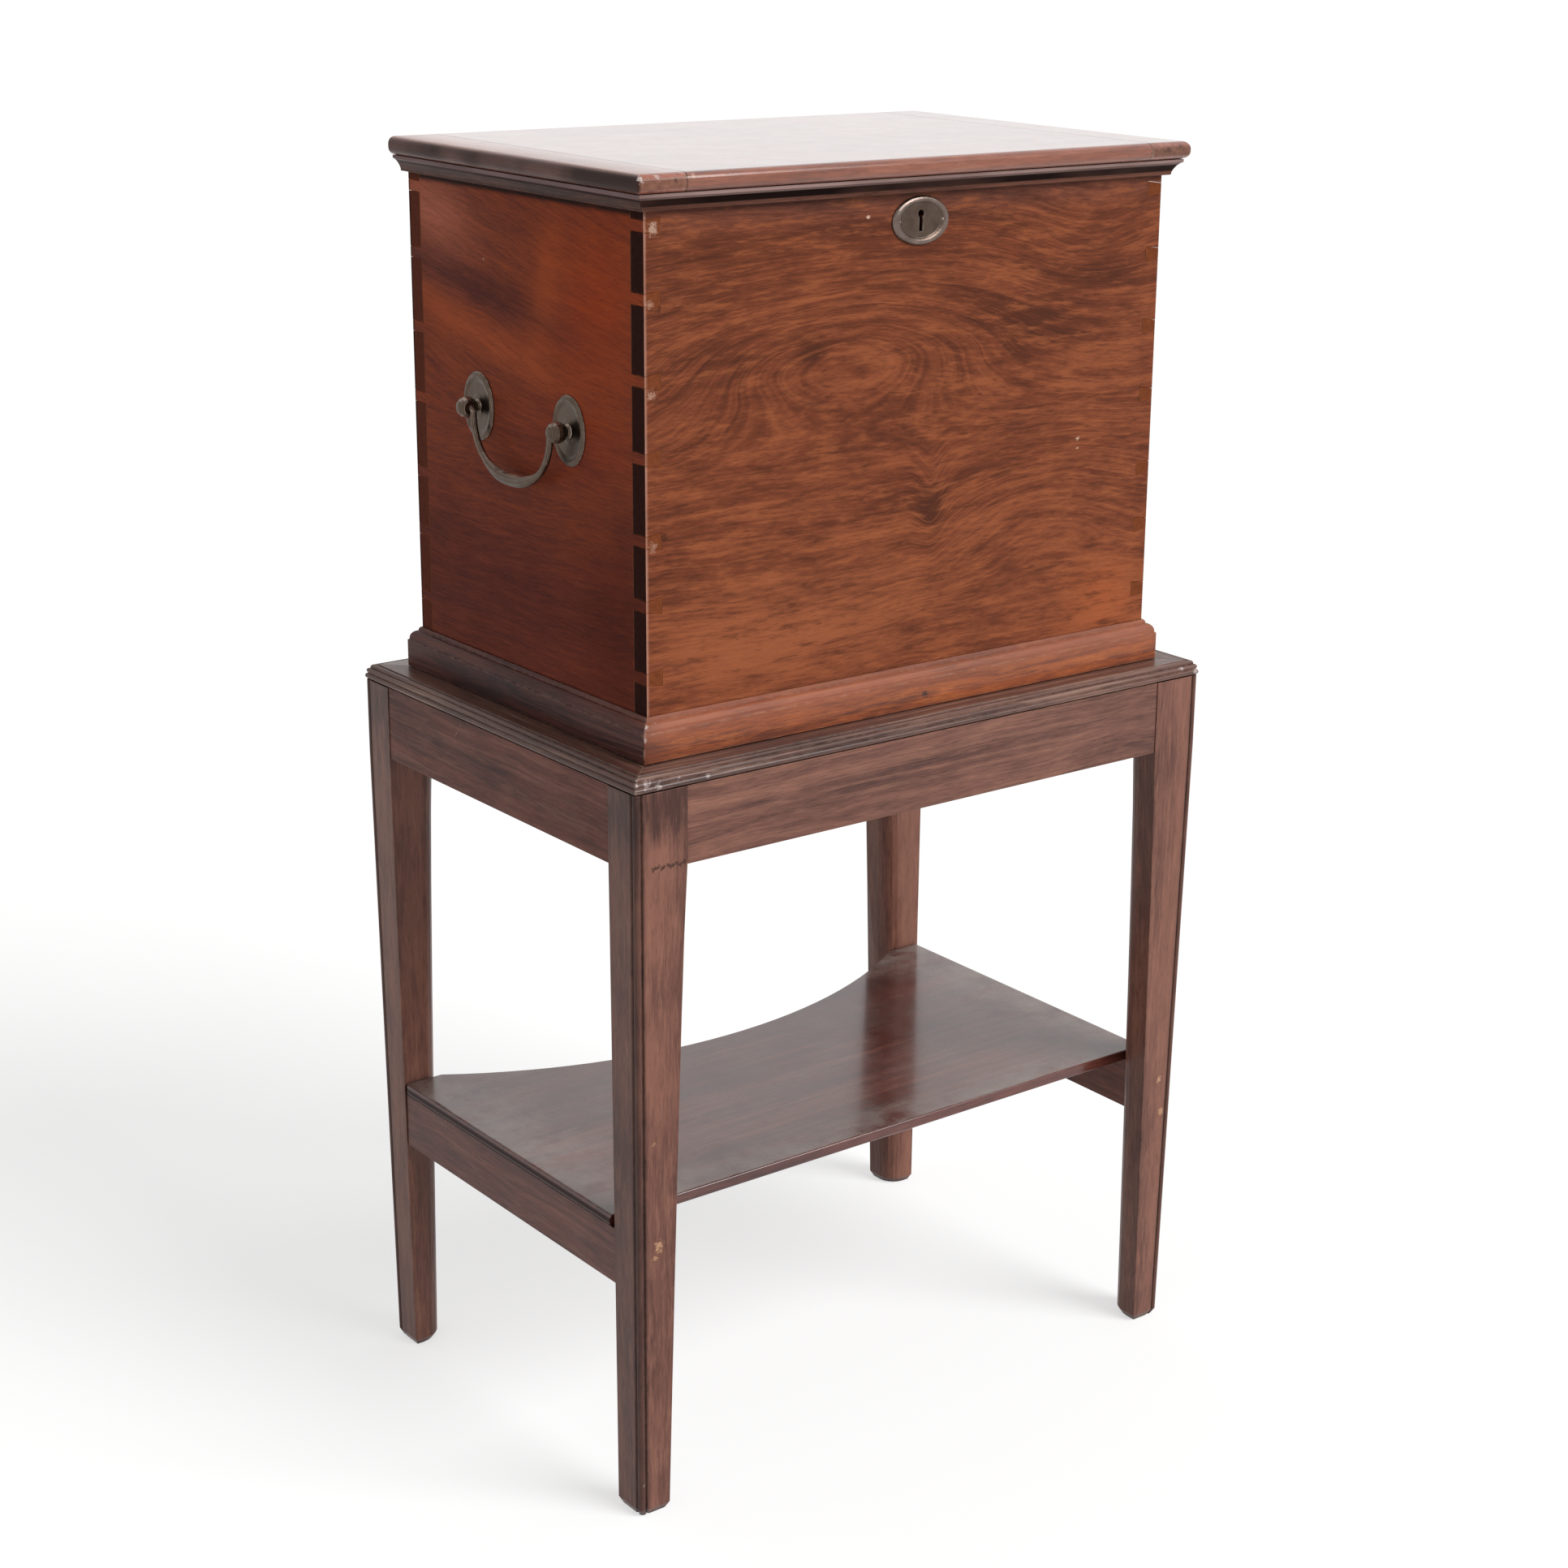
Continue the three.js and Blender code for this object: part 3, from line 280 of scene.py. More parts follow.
# A board of mahogany. axes names its directions: along the grain, across it and through the board.
class Board(Tree):
    def __init__(self, name, axes, seed):
        super().__init__(bpy.data.materials.new(name))
        self.seed = seed
        self.spot = self.place()
        self.parts = self.axes(self.spot)
        self.along, self.across, self.through = (self.parts[letter] for letter in axes)
        self.normal = self.outward()
        self.patch = self.noise(self.stretch(self.spot, PATCHES, (seed, 4.2, seed)))

    def tint(self, cover, color):
        self.color = self.mix(cover, self.color, color)

    # A soft rise to 1 over a place on the board's face
    def hill(self, middle, height, half_length, half_height, turn=0.0):
        a = self.math("SUBTRACT", self.along, middle)
        c = self.math("SUBTRACT", self.across, height)
        cos = math.cos(turn)
        sin = math.sin(turn)
        u = self.add(self.times(a, cos / half_length), self.times(c, sin / half_length))
        w = self.add(self.times(c, cos / half_height), self.times(a, -sin / half_height))
        return self.math("EXPONENT", self.times(self.add(self.times(u, u), self.times(w, w)), -1.0))

    # Fibres that follow the growth rings closely, and others that run almost straight
    def lay_grain(self, swirl, bumps, tilt):
        seed = self.seed
        board = self.vector(self.along, self.across, self.through)
        drift = self.stretch(board, DRIFT, (seed, seed * 1.7, seed * 0.6))
        waver = self.stretch(board, WAVER, (seed * 0.3, seed, seed * 1.1))
        lift = self.add(
            self.swing(self.noise(drift, 1.0, 2.0), 2.0 * swirl),
            self.swing(self.noise(waver, 1.0, 1.0), 0.16 * swirl),
        )
        for *area, amount in bumps:
            lift = self.add(lift, self.times(self.hill(*area), amount))
        if tilt is not None:
            slope, low, high = tilt
            leaning = self.remap(self.across, low, high, smooth=True)
            lift = self.add(lift, self.times(self.along, slope, leaning))
        field = self.add(self.across, lift, self.times(self.through, 0.35))
        self.ringed = self.vector(self.along, field, self.through)
        self.straight = self.vector(self.along, self.add(self.across, self.times(lift, 0.2)), self.through)

    # place shifts the pattern, so that no two kinds of streak coincide
    def streak(self, fibres, scale, place, detail=3.0, roughness=0.55):
        return self.noise(self.stretch(fibres, scale, (place, self.seed, place)), 1.0, detail, roughness)

    # Light and dark streaks, from broad bands to single fibres
    def tone_of(self, streaks, blotch, patches):
        broad = self.streak(self.ringed, BROAD, 3.1, 2.0)
        middling = self.streak(self.ringed, MIDDLING, 7.7)
        self.fine = self.streak(self.ringed, FINE, 1.3, 2.0)
        dash = self.streak(self.straight, DASHES, 4.3, 1.0)
        tone = self.add(
            0.5,
            self.swing(broad, 0.9 * streaks),
            self.swing(middling, 0.8 * streaks),
            self.swing(self.fine, 0.8),
            self.swing(dash, 0.3),
            self.swing(self.patch, blotch),
        )
        for *area, amount in patches:
            tone = self.add(tone, self.times(self.hill(*area), amount))
        return tone

    # Pale and sunken growth lines, places of another hue, flecks and pores
    def draw_figure(self, tones, tone, lines, flecks, glows):
        dark, mid, light, bright = tones
        self.color = self.ramp(tone, (0.14, dark), (0.48, mid), (0.82, light))
        ring = self.streak(self.ringed, RINGS, 9.4, 1.0)
        pale = self.times(self.remap(ring, 0.55, 0.63), self.remap(ring, 0.72, 0.64))
        self.tint(self.times(pale, self.remap(self.patch, 0.3, 0.6), lines), bright)
        self.tint(self.times(self.remap(ring, 0.42, 0.34), 0.55 * lines), dark)
        for *area, hue, strength in glows:
            glow = self.mix(tone, shade(hue, 0.6), shade(hue, 1.4))
            self.tint(self.times(self.hill(*area), strength), glow)
        if flecks:
            fleck = self.streak(self.straight, FLECKS, 8.8, 4.0, 0.68)
            self.tint(self.times(self.remap(fleck, 0.51, 0.66), flecks * 0.8), bright)
            self.tint(self.times(self.remap(fleck, 0.46, 0.32), flecks), dark)
        self.pores = self.remap(self.streak(self.straight, PORES, 5.6, 1.0), 0.6, 0.74)
        self.tint(self.times(self.pores, 0.4), shade(dark, 0.35))

    # End grain drinks the polish
    def show_ends(self, axis, ends):
        self.end = self.remap(self.math("ABSOLUTE", self.normal[axis]), 0.82, 0.95)
        self.tint(self.end, self.mix(self.noise(self.stretch(self.spot, END_GRAIN)), *ends))

    # Washes of colour that fill the board beyond a line: stains, and also painted shade and highlight.
    # Returns how far they and the end grain dull the polish.
    def wash_over(self, washes):
        dull = self.end
        for letter, start, full, face, color, strength in washes:
            cover = self.times(self.remap(self.parts[letter], start, full), strength)
            if face:
                sign = -1.0 if face[0] == "-" else 1.0
                cover = self.times(cover, self.remap(self.times(self.normal[face[-1]], sign), 0.4, 0.7))
            cover = self.times(cover, self.remap(self.patch, 0.25, 0.55, 0.45, 1.0))
            self.tint(cover, color)
            dull = self.math("MAXIMUM", dull, cover)
        return dull

    # The inner face was never polished
    def bare_inside(self, letter, limit, sign):
        hidden = self.math("GREATER_THAN", self.times(self.parts[letter], sign), limit * sign)
        bare = self.mix(self.fine, BARE_DARK, BARE_LIGHT)
        self.tint(hidden, self.mix(0.35, bare, self.color))

    def mark(self, spots):
        for x, y, z, radius, color, strength in spots:
            gap = self.node("VectorMath", operation="DISTANCE")
            self.put(gap.inputs[0], self.spot)
            self.put(gap.inputs[1], (x, y, z))
            grit = self.noise(self.spot, 420.0, 3.0, 0.8)
            ragged = self.math("MULTIPLY_ADD", grit, 4.0 * radius, gap.outputs["Value"])
            self.tint(self.times(self.remap(ragged, radius * 2.9, radius * 2.3), strength), color)

    # Darker colour in the quirks beside the beads of the legs' outer corners
    def darken_quirks(self):
        lean = self.remap(self.parts["z"], 0.0, APRON_BOTTOM, LEG_LEAN, 0.0)
        out_x = self.add(self.math("ABSOLUTE", self.parts["x"]), self.times(lean, 0.6), -STAND_HALF_WIDTH)
        out_y = self.add(self.math("ABSOLUTE", self.parts["y"]), lean, -STAND_HALF_DEPTH)
        near = self.math("MINIMUM", out_x, out_y)
        patchy = self.remap(self.patch, 0.1, 0.3, 0.7, 0.95)
        darkened = self.times(self.remap(near, QUIRK_FAR, QUIRK_NEAR), patchy)
        self.tint(self.times(darkened, 0.5), QUIRK_DARK)

    # Dark margins, rubbed edges with a painted highlight along them, and grime with painted shade in the
    # seams. Returns how far each place is rubbed and highlighted.
    def age_and_paint_light(self, margin, margin_color, wear_and_highlight, rubbed_and_highlight, grime_and_shade):
        if margin:
            cloudy = self.remap(self.noise(self.spot, 45.0), 0.35, 0.6)
            self.tint(self.times(self.edge(MARGIN_REACH), cloudy, margin), margin_color)
        chips = self.remap(self.noise(self.spot, 160.0, 3.0, 0.6), 0.42, 0.62)
        # Rubbed edges, lighter also as a painted highlight along the arrises
        rub_and_highlight = self.times(self.edge(RUB_REACH), chips, wear_and_highlight)
        self.tint(rub_and_highlight, rubbed_and_highlight)
        # Grime and painted shade: seams and corners darken by how closed in they are
        self.tint(self.times(self.crevice(SEAM_REACH), grime_and_shade), SEAM_DIRT_AND_SHADE)
        return rub_and_highlight

    # Dust on the upward face, thicker towards the borders of the shelf
    def settle_dust(self, dust):
        faces_up = self.remap(self.normal["z"], 0.85, 0.99)
        drifts = self.noise(self.stretch(self.spot, DUST_DRIFTS, (self.seed, 0, 0)), 1.0, 4.0, 0.65)
        rim_x = self.remap(self.math("ABSOLUTE", self.parts["x"]), *DUST_BORDER_X)
        rim_y = self.remap(self.math("ABSOLUTE", self.parts["y"]), *DUST_BORDER_Y)
        border = self.add(0.2, self.math("MAXIMUM", rim_x, rim_y))
        film = self.times(faces_up, self.remap(drifts, 0.35, 0.75), border, dust)
        self.tint(film, DUST)
        return film


# Mahogany of one piece. tones are the dark, middle, light and bright colors of its figure.
# bumps are swellings of the grain: (along, across, half length, half height, lift) in metres.
# patches are lighter or darker places: (along, across, half length, half height, turn, tone).
# glows are places of another hue: (along, across, half length, half height, turn, color, strength).
# spots are small marks, some of them painted glints: (x, y, z, radius, color, strength).
# washes are colour washes, stains and also painted shade and highlight: (axis, where it starts, where it is
# full, face, color, strength).
# fade thins the polish along an axis: (axis, where it is thin, where it is full, least share).
def mahogany(name, axes, tones, seed, swirl=0.008, bumps=(), tilt=None, streaks=1.0, blotch=0.5, patches=(),
             lines=0.4, flecks=0.0, glows=(), ends=None, washes=(), inner=None, spots=(), quirks=False,
             margin=0.0, wear_and_highlight=0.5, rubbed_and_highlight=None, grime_and_shade=0.6, dust=0.0, roughness=0.36, gloss=0.3, relief=0.22,
             coat=0.0, coat_roughness=0.12, fade=None):
    board = Board(name, axes, seed)
    board.lay_grain(swirl, bumps, tilt)
    board.draw_figure(tones, board.tone_of(streaks, blotch, patches), lines, flecks, glows)
    board.show_ends(axes[0], ends or (shade(tones[0], 0.3), shade(tones[1], 0.4)))
    dull = board.wash_over(washes)
    if inner:
        board.bare_inside(*inner)
    board.mark(spots)
    if quirks:
        board.darken_quirks()
    rub_and_highlight = board.age_and_paint_light(margin, shade(tones[0], 0.55), wear_and_highlight, rubbed_and_highlight or tones[3], grime_and_shade)
    rough = board.add(
        roughness,
        board.swing(board.noise(board.spot, 38.0, 4.0), 0.16),
        board.times(board.end, 0.18),
        board.times(rub_and_highlight, 0.12),
    )
    if dust:
        rough = board.add(rough, board.times(board.settle_dust(dust), 0.3))
    waves = board.noise(board.spot, 26.0, 2.0)
    height = board.add(board.times(board.fine, 0.5), board.times(board.pores, -0.8), waves)
    polish = board.math("MULTIPLY_ADD", dull, -0.85, 1.0)
    values = {
        "Base Color": board.color,
        "Roughness": rough,
        "Specular IOR Level": board.times(polish, gloss),
        "Normal": board.bump(height, relief, GRAIN_DEPTH),
    }
    if fade:
        letter, thin_at, full_at, least = fade
        polish = board.times(polish, board.remap(board.parts[letter], thin_at, full_at, least, 1.0))
    if coat:
        values.update({"Coat Weight": board.times(polish, coat), "Coat Roughness": coat_roughness})
    return board.finish(board.node("BsdfPrincipled", values).outputs[0])


# Aged metal: brown skin in the hollows, and rubbed bright along the edges, which is partly a painted
# highlight; a painted highlight also lies, by the share given for it, on the faces turned up or down.
# rim paints a highlight on a raised oval band: (half width, half height, where it starts, where it is full,
# share of the rubbed colour).
def metal(name, skin, rubbed_and_highlight, roughness=0.34, wear_and_highlight=0.8, top_highlight=0.0, rim=None):
    t = Tree(bpy.data.materials.new(name))
    spot = t.place()
    cloud = t.noise(spot, 120.0, 4.0, 0.62)
    color = t.mix(t.remap(cloud, 0.35, 0.7), skin, shade(skin, 1.4))
    handled = t.remap(t.noise(spot, 260.0), 0.34, 0.58)
    # Rubbed edges of the metal, partly a painted highlight
    bright = t.times(t.edge(METAL_RUB_REACH, 0.985, 0.86), handled, wear_and_highlight)
    # Painted highlight on the faces turned up or down
    upper = t.math("ABSOLUTE", t.outward()["z"])
    top_highlight_mask = t.times(t.remap(upper, 0.62, 0.96), t.remap(cloud, 0.3, 0.6, 0.5, 1.0), top_highlight)
    color = t.mix(t.math("MAXIMUM", bright, top_highlight_mask), color, rubbed_and_highlight)
    if rim:
        half_width, half_height, start, full, share = rim
        parts = t.axes(spot)
        wide = t.times(parts["x"], 1 / half_width)
        high = t.times(t.math("SUBTRACT", parts["z"], ESCUTCHEON_HEIGHT), 1 / half_height)
        reach = t.math("SQRT", t.add(t.times(wide, wide), t.times(high, high)))
        # Painted highlight on the raised rim
        rim_highlight = t.times(t.remap(reach, start, full), t.remap(cloud, 0.3, 0.6, 0.6, 1.0), share)
        color = t.mix(rim_highlight, color, rubbed_and_highlight)
    pocket = t.times(t.crevice(POCKET_REACH, 0.8, 0.3), 0.75)
    color = t.mix(pocket, color, shade(skin, 0.25))
    rough = t.add(roughness, t.swing(cloud, 0.3), t.times(pocket, 0.25))
    pits = t.add(t.noise(spot, 900.0), t.times(t.noise(spot, 140.0, 2.0), 1.5))
    values = {
        "Base Color": color,
        "Metallic": 1.0,
        "Roughness": rough,
        "Normal": t.bump(pits, 0.18, PIT_DEPTH),
    }
    return t.finish(t.node("BsdfPrincipled", values).outputs[0])


# Tones: dark, middle, light and the bright lines
FRONT = (srgb(80, 40, 25), srgb(112, 57, 36), srgb(139, 76, 48), srgb(160, 91, 56))
SIDE = (srgb(92, 44, 36), srgb(128, 62, 43), srgb(156, 74, 42), srgb(172, 88, 48))
PLINTH = (srgb(92, 40, 20), srgb(142, 70, 33), srgb(172, 88, 40), srgb(202, 116, 58))
# A darker copy of the plinth's tones for its sides and back: painted shade
PLINTH_SHADED = (srgb(46, 22, 20), srgb(76, 38, 32), srgb(100, 54, 44), srgb(128, 84, 70))
STAND = (srgb(72, 44, 38), srgb(108, 70, 60), srgb(132, 88, 74), srgb(166, 118, 96))
# A darker copy of the stand's tones for the side aprons and the stretcher: painted shade
APRON_SHADED = (srgb(60, 32, 27), srgb(98, 54, 45), srgb(122, 72, 60), srgb(150, 104, 88))
RIM = (srgb(54, 32, 27), srgb(90, 58, 48), srgb(116, 78, 64), srgb(176, 142, 124))
SHELF = (srgb(64, 30, 27), srgb(88, 44, 38), srgb(108, 58, 49), srgb(126, 80, 66))
LID = (srgb(96, 50, 36), srgb(144, 78, 58), srgb(172, 104, 80), srgb(190, 134, 106))
COVE = (srgb(38, 21, 17), srgb(76, 46, 37), srgb(102, 64, 51), srgb(130, 98, 84))
COVE_TOE = (srgb(68, 40, 32), srgb(94, 58, 46), srgb(112, 70, 56), srgb(134, 92, 76))
INNER = (srgb(104, 72, 46), srgb(146, 108, 72), srgb(168, 130, 92), srgb(178, 140, 100))
PIN_ENDS = (srgb(96, 50, 31), srgb(136, 76, 47))
TAIL_ENDS = (srgb(30, 14, 11), srgb(60, 30, 24))
BACK_ENDS = (srgb(80, 42, 34), srgb(110, 60, 46))
# Near black: painted shade under the lid's moulding and in the front cove, and darkening at the lid's joints
# and along the case's back edges
NEAR_BLACK = srgb(16, 9, 8)
# Near-white painted highlight for the rubbed edges of the lid's cleats
EDGE_HIGHLIGHT = srgb(204, 186, 180)
YELLOW_SKIN = srgb(140, 112, 66)
YELLOW_RUBBED = srgb(206, 176, 116)
IRON_SKIN = srgb(86, 82, 78)
IRON_RUBBED = srgb(150, 146, 140)
PALE = srgb(206, 176, 152)
DARK_MARK = srgb(36, 16, 12)
GLINT = srgb(212, 198, 194)

# Figure of the boards, as the photograph shows it
FRONT_FIGURE = (
    (-0.055, 0.780, 0.140, 0.050, -0.085),
    (0.120, 0.655, 0.090, 0.050, -0.034),
    (0.015, 0.668, 0.012, 0.034, 0.016),
    (0.150, 0.830, 0.060, 0.034, 0.022),
    (-0.130, 0.620, 0.090, 0.035, 0.010),
)
FRONT_PATCHES = (
    (0.174, 0.575, 0.040, 0.035, 0.0, 0.34),
    (0.110, 0.785, 0.060, 0.028, 0.2, -0.22),
    (0.150, 0.754, 0.045, 0.010, 0.05, 0.28),
    (-0.088, 0.778, 0.012, 0.014, 0.5, -0.40),
    (-0.150, 0.780, 0.040, 0.012, 0.0, -0.18),
    (0.015, 0.664, 0.012, 0.022, 0.3, -0.40),
    (-0.120, 0.590, 0.100, 0.034, 0.0, 0.46),
    (-0.020, 0.870, 0.240, 0.016, 0.0, -0.20),
    (0.090, 0.690, 0.090, 0.006, 0.0, 0.20),
)
SIDE_PATCHES = (
    (0.060, 0.806, 0.130, 0.013, 0.16, -0.34),
    (0.050, 0.774, 0.120, 0.012, 0.22, 0.24),
    (-0.030, 0.815, 0.014, 0.048, 0.25, 0.30),
    (-0.095, 0.800, 0.050, 0.090, 0.0, 0.26),
    # Lighter where the painted sheen lies on the upper back
    (0.100, 0.850, 0.060, 0.020, 0.3, 0.24),
    (-0.055, 0.708, 0.050, 0.014, 0.1, -0.26),
    (0.080, 0.600, 0.160, 0.055, 0.0, -0.22),
    (-0.060, 0.585, 0.080, 0.012, 0.0, 0.16),
)
FRONT_GLOWS = (
    (0.176, 0.578, 0.036, 0.032, 0.0, srgb(158, 82, 44), 0.5),
    (-0.090, 0.600, 0.110, 0.040, 0.0, srgb(146, 84, 54), 0.35),
    (0.0, 0.870, 0.400, 0.012, 0.0, srgb(112, 68, 56), 0.65),
)
SIDE_GLOWS = (
    (-0.085, 0.810, 0.050, 0.070, 0.3, srgb(152, 58, 26), 0.6),
    (-0.020, 0.800, 0.022, 0.050, 0.35, srgb(160, 76, 42), 0.5),
    # Painted sheen: a pinkish glare over the upper back of the left side
    (0.110, 0.850, 0.055, 0.032, 0.2, srgb(168, 98, 78), 0.85),
    (0.060, 0.806, 0.110, 0.012, 0.16, srgb(98, 50, 46), 0.5),
    (0.050, 0.772, 0.110, 0.012, 0.22, srgb(160, 78, 48), 0.5),
    (0.020, 0.600, 0.200, 0.055, 0.0, srgb(98, 42, 36), 0.7),
    (-0.060, 0.720, 0.060, 0.025, 0.0, srgb(140, 54, 34), 0.4),
    (-0.115, 0.605, 0.060, 0.080, 0.0, srgb(76, 24, 15), 0.6),
)
LEG_PATCHES = (
    (0.500, -0.226, 0.022, 0.030, 0.0, -0.45),
    (0.470, -0.228, 0.014, 0.010, 0.0, 0.45),
    (0.430, -0.230, 0.030, 0.012, 0.0, 0.50),
    (0.330, -0.230, 0.050, 0.010, 0.0, 0.30),
    (0.300, 0.238, 0.250, 0.015, 0.0, 0.65),
)

# Chips, nicks and filled holes, and glints: small painted highlights on the lid, rim and plinth
FRONT_MARKS = (
    (-0.0428, FRONT_FACE, 0.8590, 0.0016, PALE, 0.9),
    (0.1465, FRONT_FACE, 0.6962, 0.0016, PALE, 0.8),
    (0.1461, FRONT_FACE, 0.6896, 0.0014, PALE, 0.7),
    (-0.2160, 0.0450, 0.8240, 0.0014, srgb(190, 150, 128), 0.6),
    (-0.2095, FRONT_FACE, 0.8618, 0.0044, srgb(196, 164, 146), 0.7),
    (-0.2120, FRONT_FACE, 0.8162, 0.0036, srgb(186, 146, 126), 0.6),
    (-0.2050, FRONT_FACE, 0.8128, 0.0030, DARK_MARK, 0.6),
    (-0.2115, FRONT_FACE, 0.7615, 0.0036, srgb(186, 146, 126), 0.65),
    (-0.2105, FRONT_FACE, 0.6660, 0.0038, srgb(180, 140, 120), 0.6),
    (-0.2020, FRONT_FACE, 0.6700, 0.0030, DARK_MARK, 0.6),
)
STAND_MARKS = (
    (-0.2282, -0.1660, 0.2010, 0.0042, srgb(196, 152, 116), 0.8),
    (-0.2310, -0.1664, 0.1930, 0.0024, srgb(196, 152, 116), 0.6),
    (-0.2321, -0.1660, 0.2762, 0.0020, srgb(180, 136, 104), 0.6),
    (-0.2388, -0.1640, 0.0248, 0.0018, srgb(190, 170, 150), 0.7),
    (0.2304, -0.1660, 0.2018, 0.0026, srgb(196, 152, 116), 0.8),
    (0.2339, -0.1660, 0.1741, 0.0034, srgb(196, 152, 116), 0.7),
)
LID_MARKS = (
    (-0.2262, -0.1520, 0.8935, 0.0030, GLINT, 0.7),
    (-0.2150, -0.1522, 0.8945, 0.0024, GLINT, 0.6),
    (-0.2010, -0.1522, 0.8915, 0.0022, DARK_MARK, 0.6),
    # A painted glint on the lid's front edge
    (-0.1880, -0.1522, 0.8940, 0.0026, srgb(196, 160, 142), 0.6),
    (0.2080, -0.1522, 0.8905, 0.0040, DARK_MARK, 0.5),
    (0.2200, -0.1522, 0.8930, 0.0030, DARK_MARK, 0.5),
)
RIM_MARKS = (
    (-0.2440, -0.1685, 0.5262, 0.0030, GLINT, 0.7),
    (-0.2370, -0.1690, 0.5235, 0.0036, GLINT, 0.6),
    (-0.2280, -0.1692, 0.5212, 0.0030, GLINT, 0.5),
    (-0.2120, -0.1692, 0.5236, 0.0022, GLINT, 0.5),
    (-0.1900, -0.1692, 0.5212, 0.0020, GLINT, 0.4),
    (0.2300, -0.1692, 0.5240, 0.0024, GLINT, 0.6),
    (0.2430, -0.1685, 0.5200, 0.0026, GLINT, 0.6),
)
PLINTH_MARKS = (
    (0.0068, -0.1470, 0.5372, 0.0030, DARK_MARK, 0.95),
    (-0.2220, -0.1460, 0.5530, 0.0034, GLINT, 0.6),
    (-0.2140, -0.1440, 0.5560, 0.0024, GLINT, 0.5),
    (-0.2232, -0.1462, 0.5450, 0.0024, GLINT, 0.5),
)

# Rows of small marks: a crack across the leg under the apron, a scratch down the left apron
LEG_CRACK = tuple(
    (-0.2330 + 0.0022 * i, -0.1690, 0.4664 + 0.0006 * (i % 3), 0.0020, DARK_MARK, 0.7) for i in range(12)
)
SCRATCH = tuple(
    (-0.2457, 0.0400 + 0.0016 * i, 0.5135 - 0.0018 * i, 0.0007, srgb(168, 128, 108), 0.8) for i in range(6)
)

# Washes of the boards beyond a line: stains and darkening, and painted shade and highlights where noted
ARRIS = ("x", -0.2138, -0.2157, "-y", srgb(196, 150, 132), 0.7)
BACK_CORNER = ("y", 0.1365, 0.1385, None, NEAR_BLACK, 0.8)
BACK_CORNER_LEFT = ("y", 0.1365, 0.1385, "-x", NEAR_BLACK, 0.8)
# Dark lines at the lid's joints, partly painted shade of the groove
LID_JOINTS = (
    ("x", -0.1918, -0.1926, None, NEAR_BLACK, 0.75),
    ("x", 0.1918, 0.1926, None, NEAR_BLACK, 0.75),
)
LID_FRONT = ("y", -0.1500, -0.1522, None, srgb(132, 80, 56), 0.4)
# Painted shade: the left end of the lid darkened
LID_END_SHADE = ("x", -0.2258, -0.2284, None, srgb(46, 26, 21), 0.95)
# Front moulding: painted shade in the cove's hollow, and a pale painted highlight on the fillet above it
COVE_SHADE = ("z", 0.8752, 0.8758, None, NEAR_BLACK, 0.95)
COVE_FILLET_HIGHLIGHT = ("z", 0.8797, 0.8803, None, srgb(156, 130, 125), 0.95)
# Side mouldings: a dark band of painted shade below the fillet, and a pale painted highlight on the fillet
SIDE_COVE_SHADE = ("z", 0.8782, 0.8790, None, srgb(40, 24, 22), 0.8)
SIDE_FILLET_HIGHLIGHT = ("z", 0.8800, 0.8806, None, srgb(146, 122, 122), 0.9)
# Painted sheen: a pinkish grey over the upper part of the plinth's front
PLINTH_TOP_SHEEN = ("z", 0.5400, 0.5490, None, srgb(152, 98, 80), 0.65)
PLINTH_CORNER = ("x", -0.205, -0.226, None, srgb(96, 58, 48), 0.7)

# Painted shadow: the dark line that the lid's moulding casts on the sides
UNDER_LID_SHADOW = (0.0, 0.8706, 5.0, 0.0022, 0.0, NEAR_BLACK, 0.95)

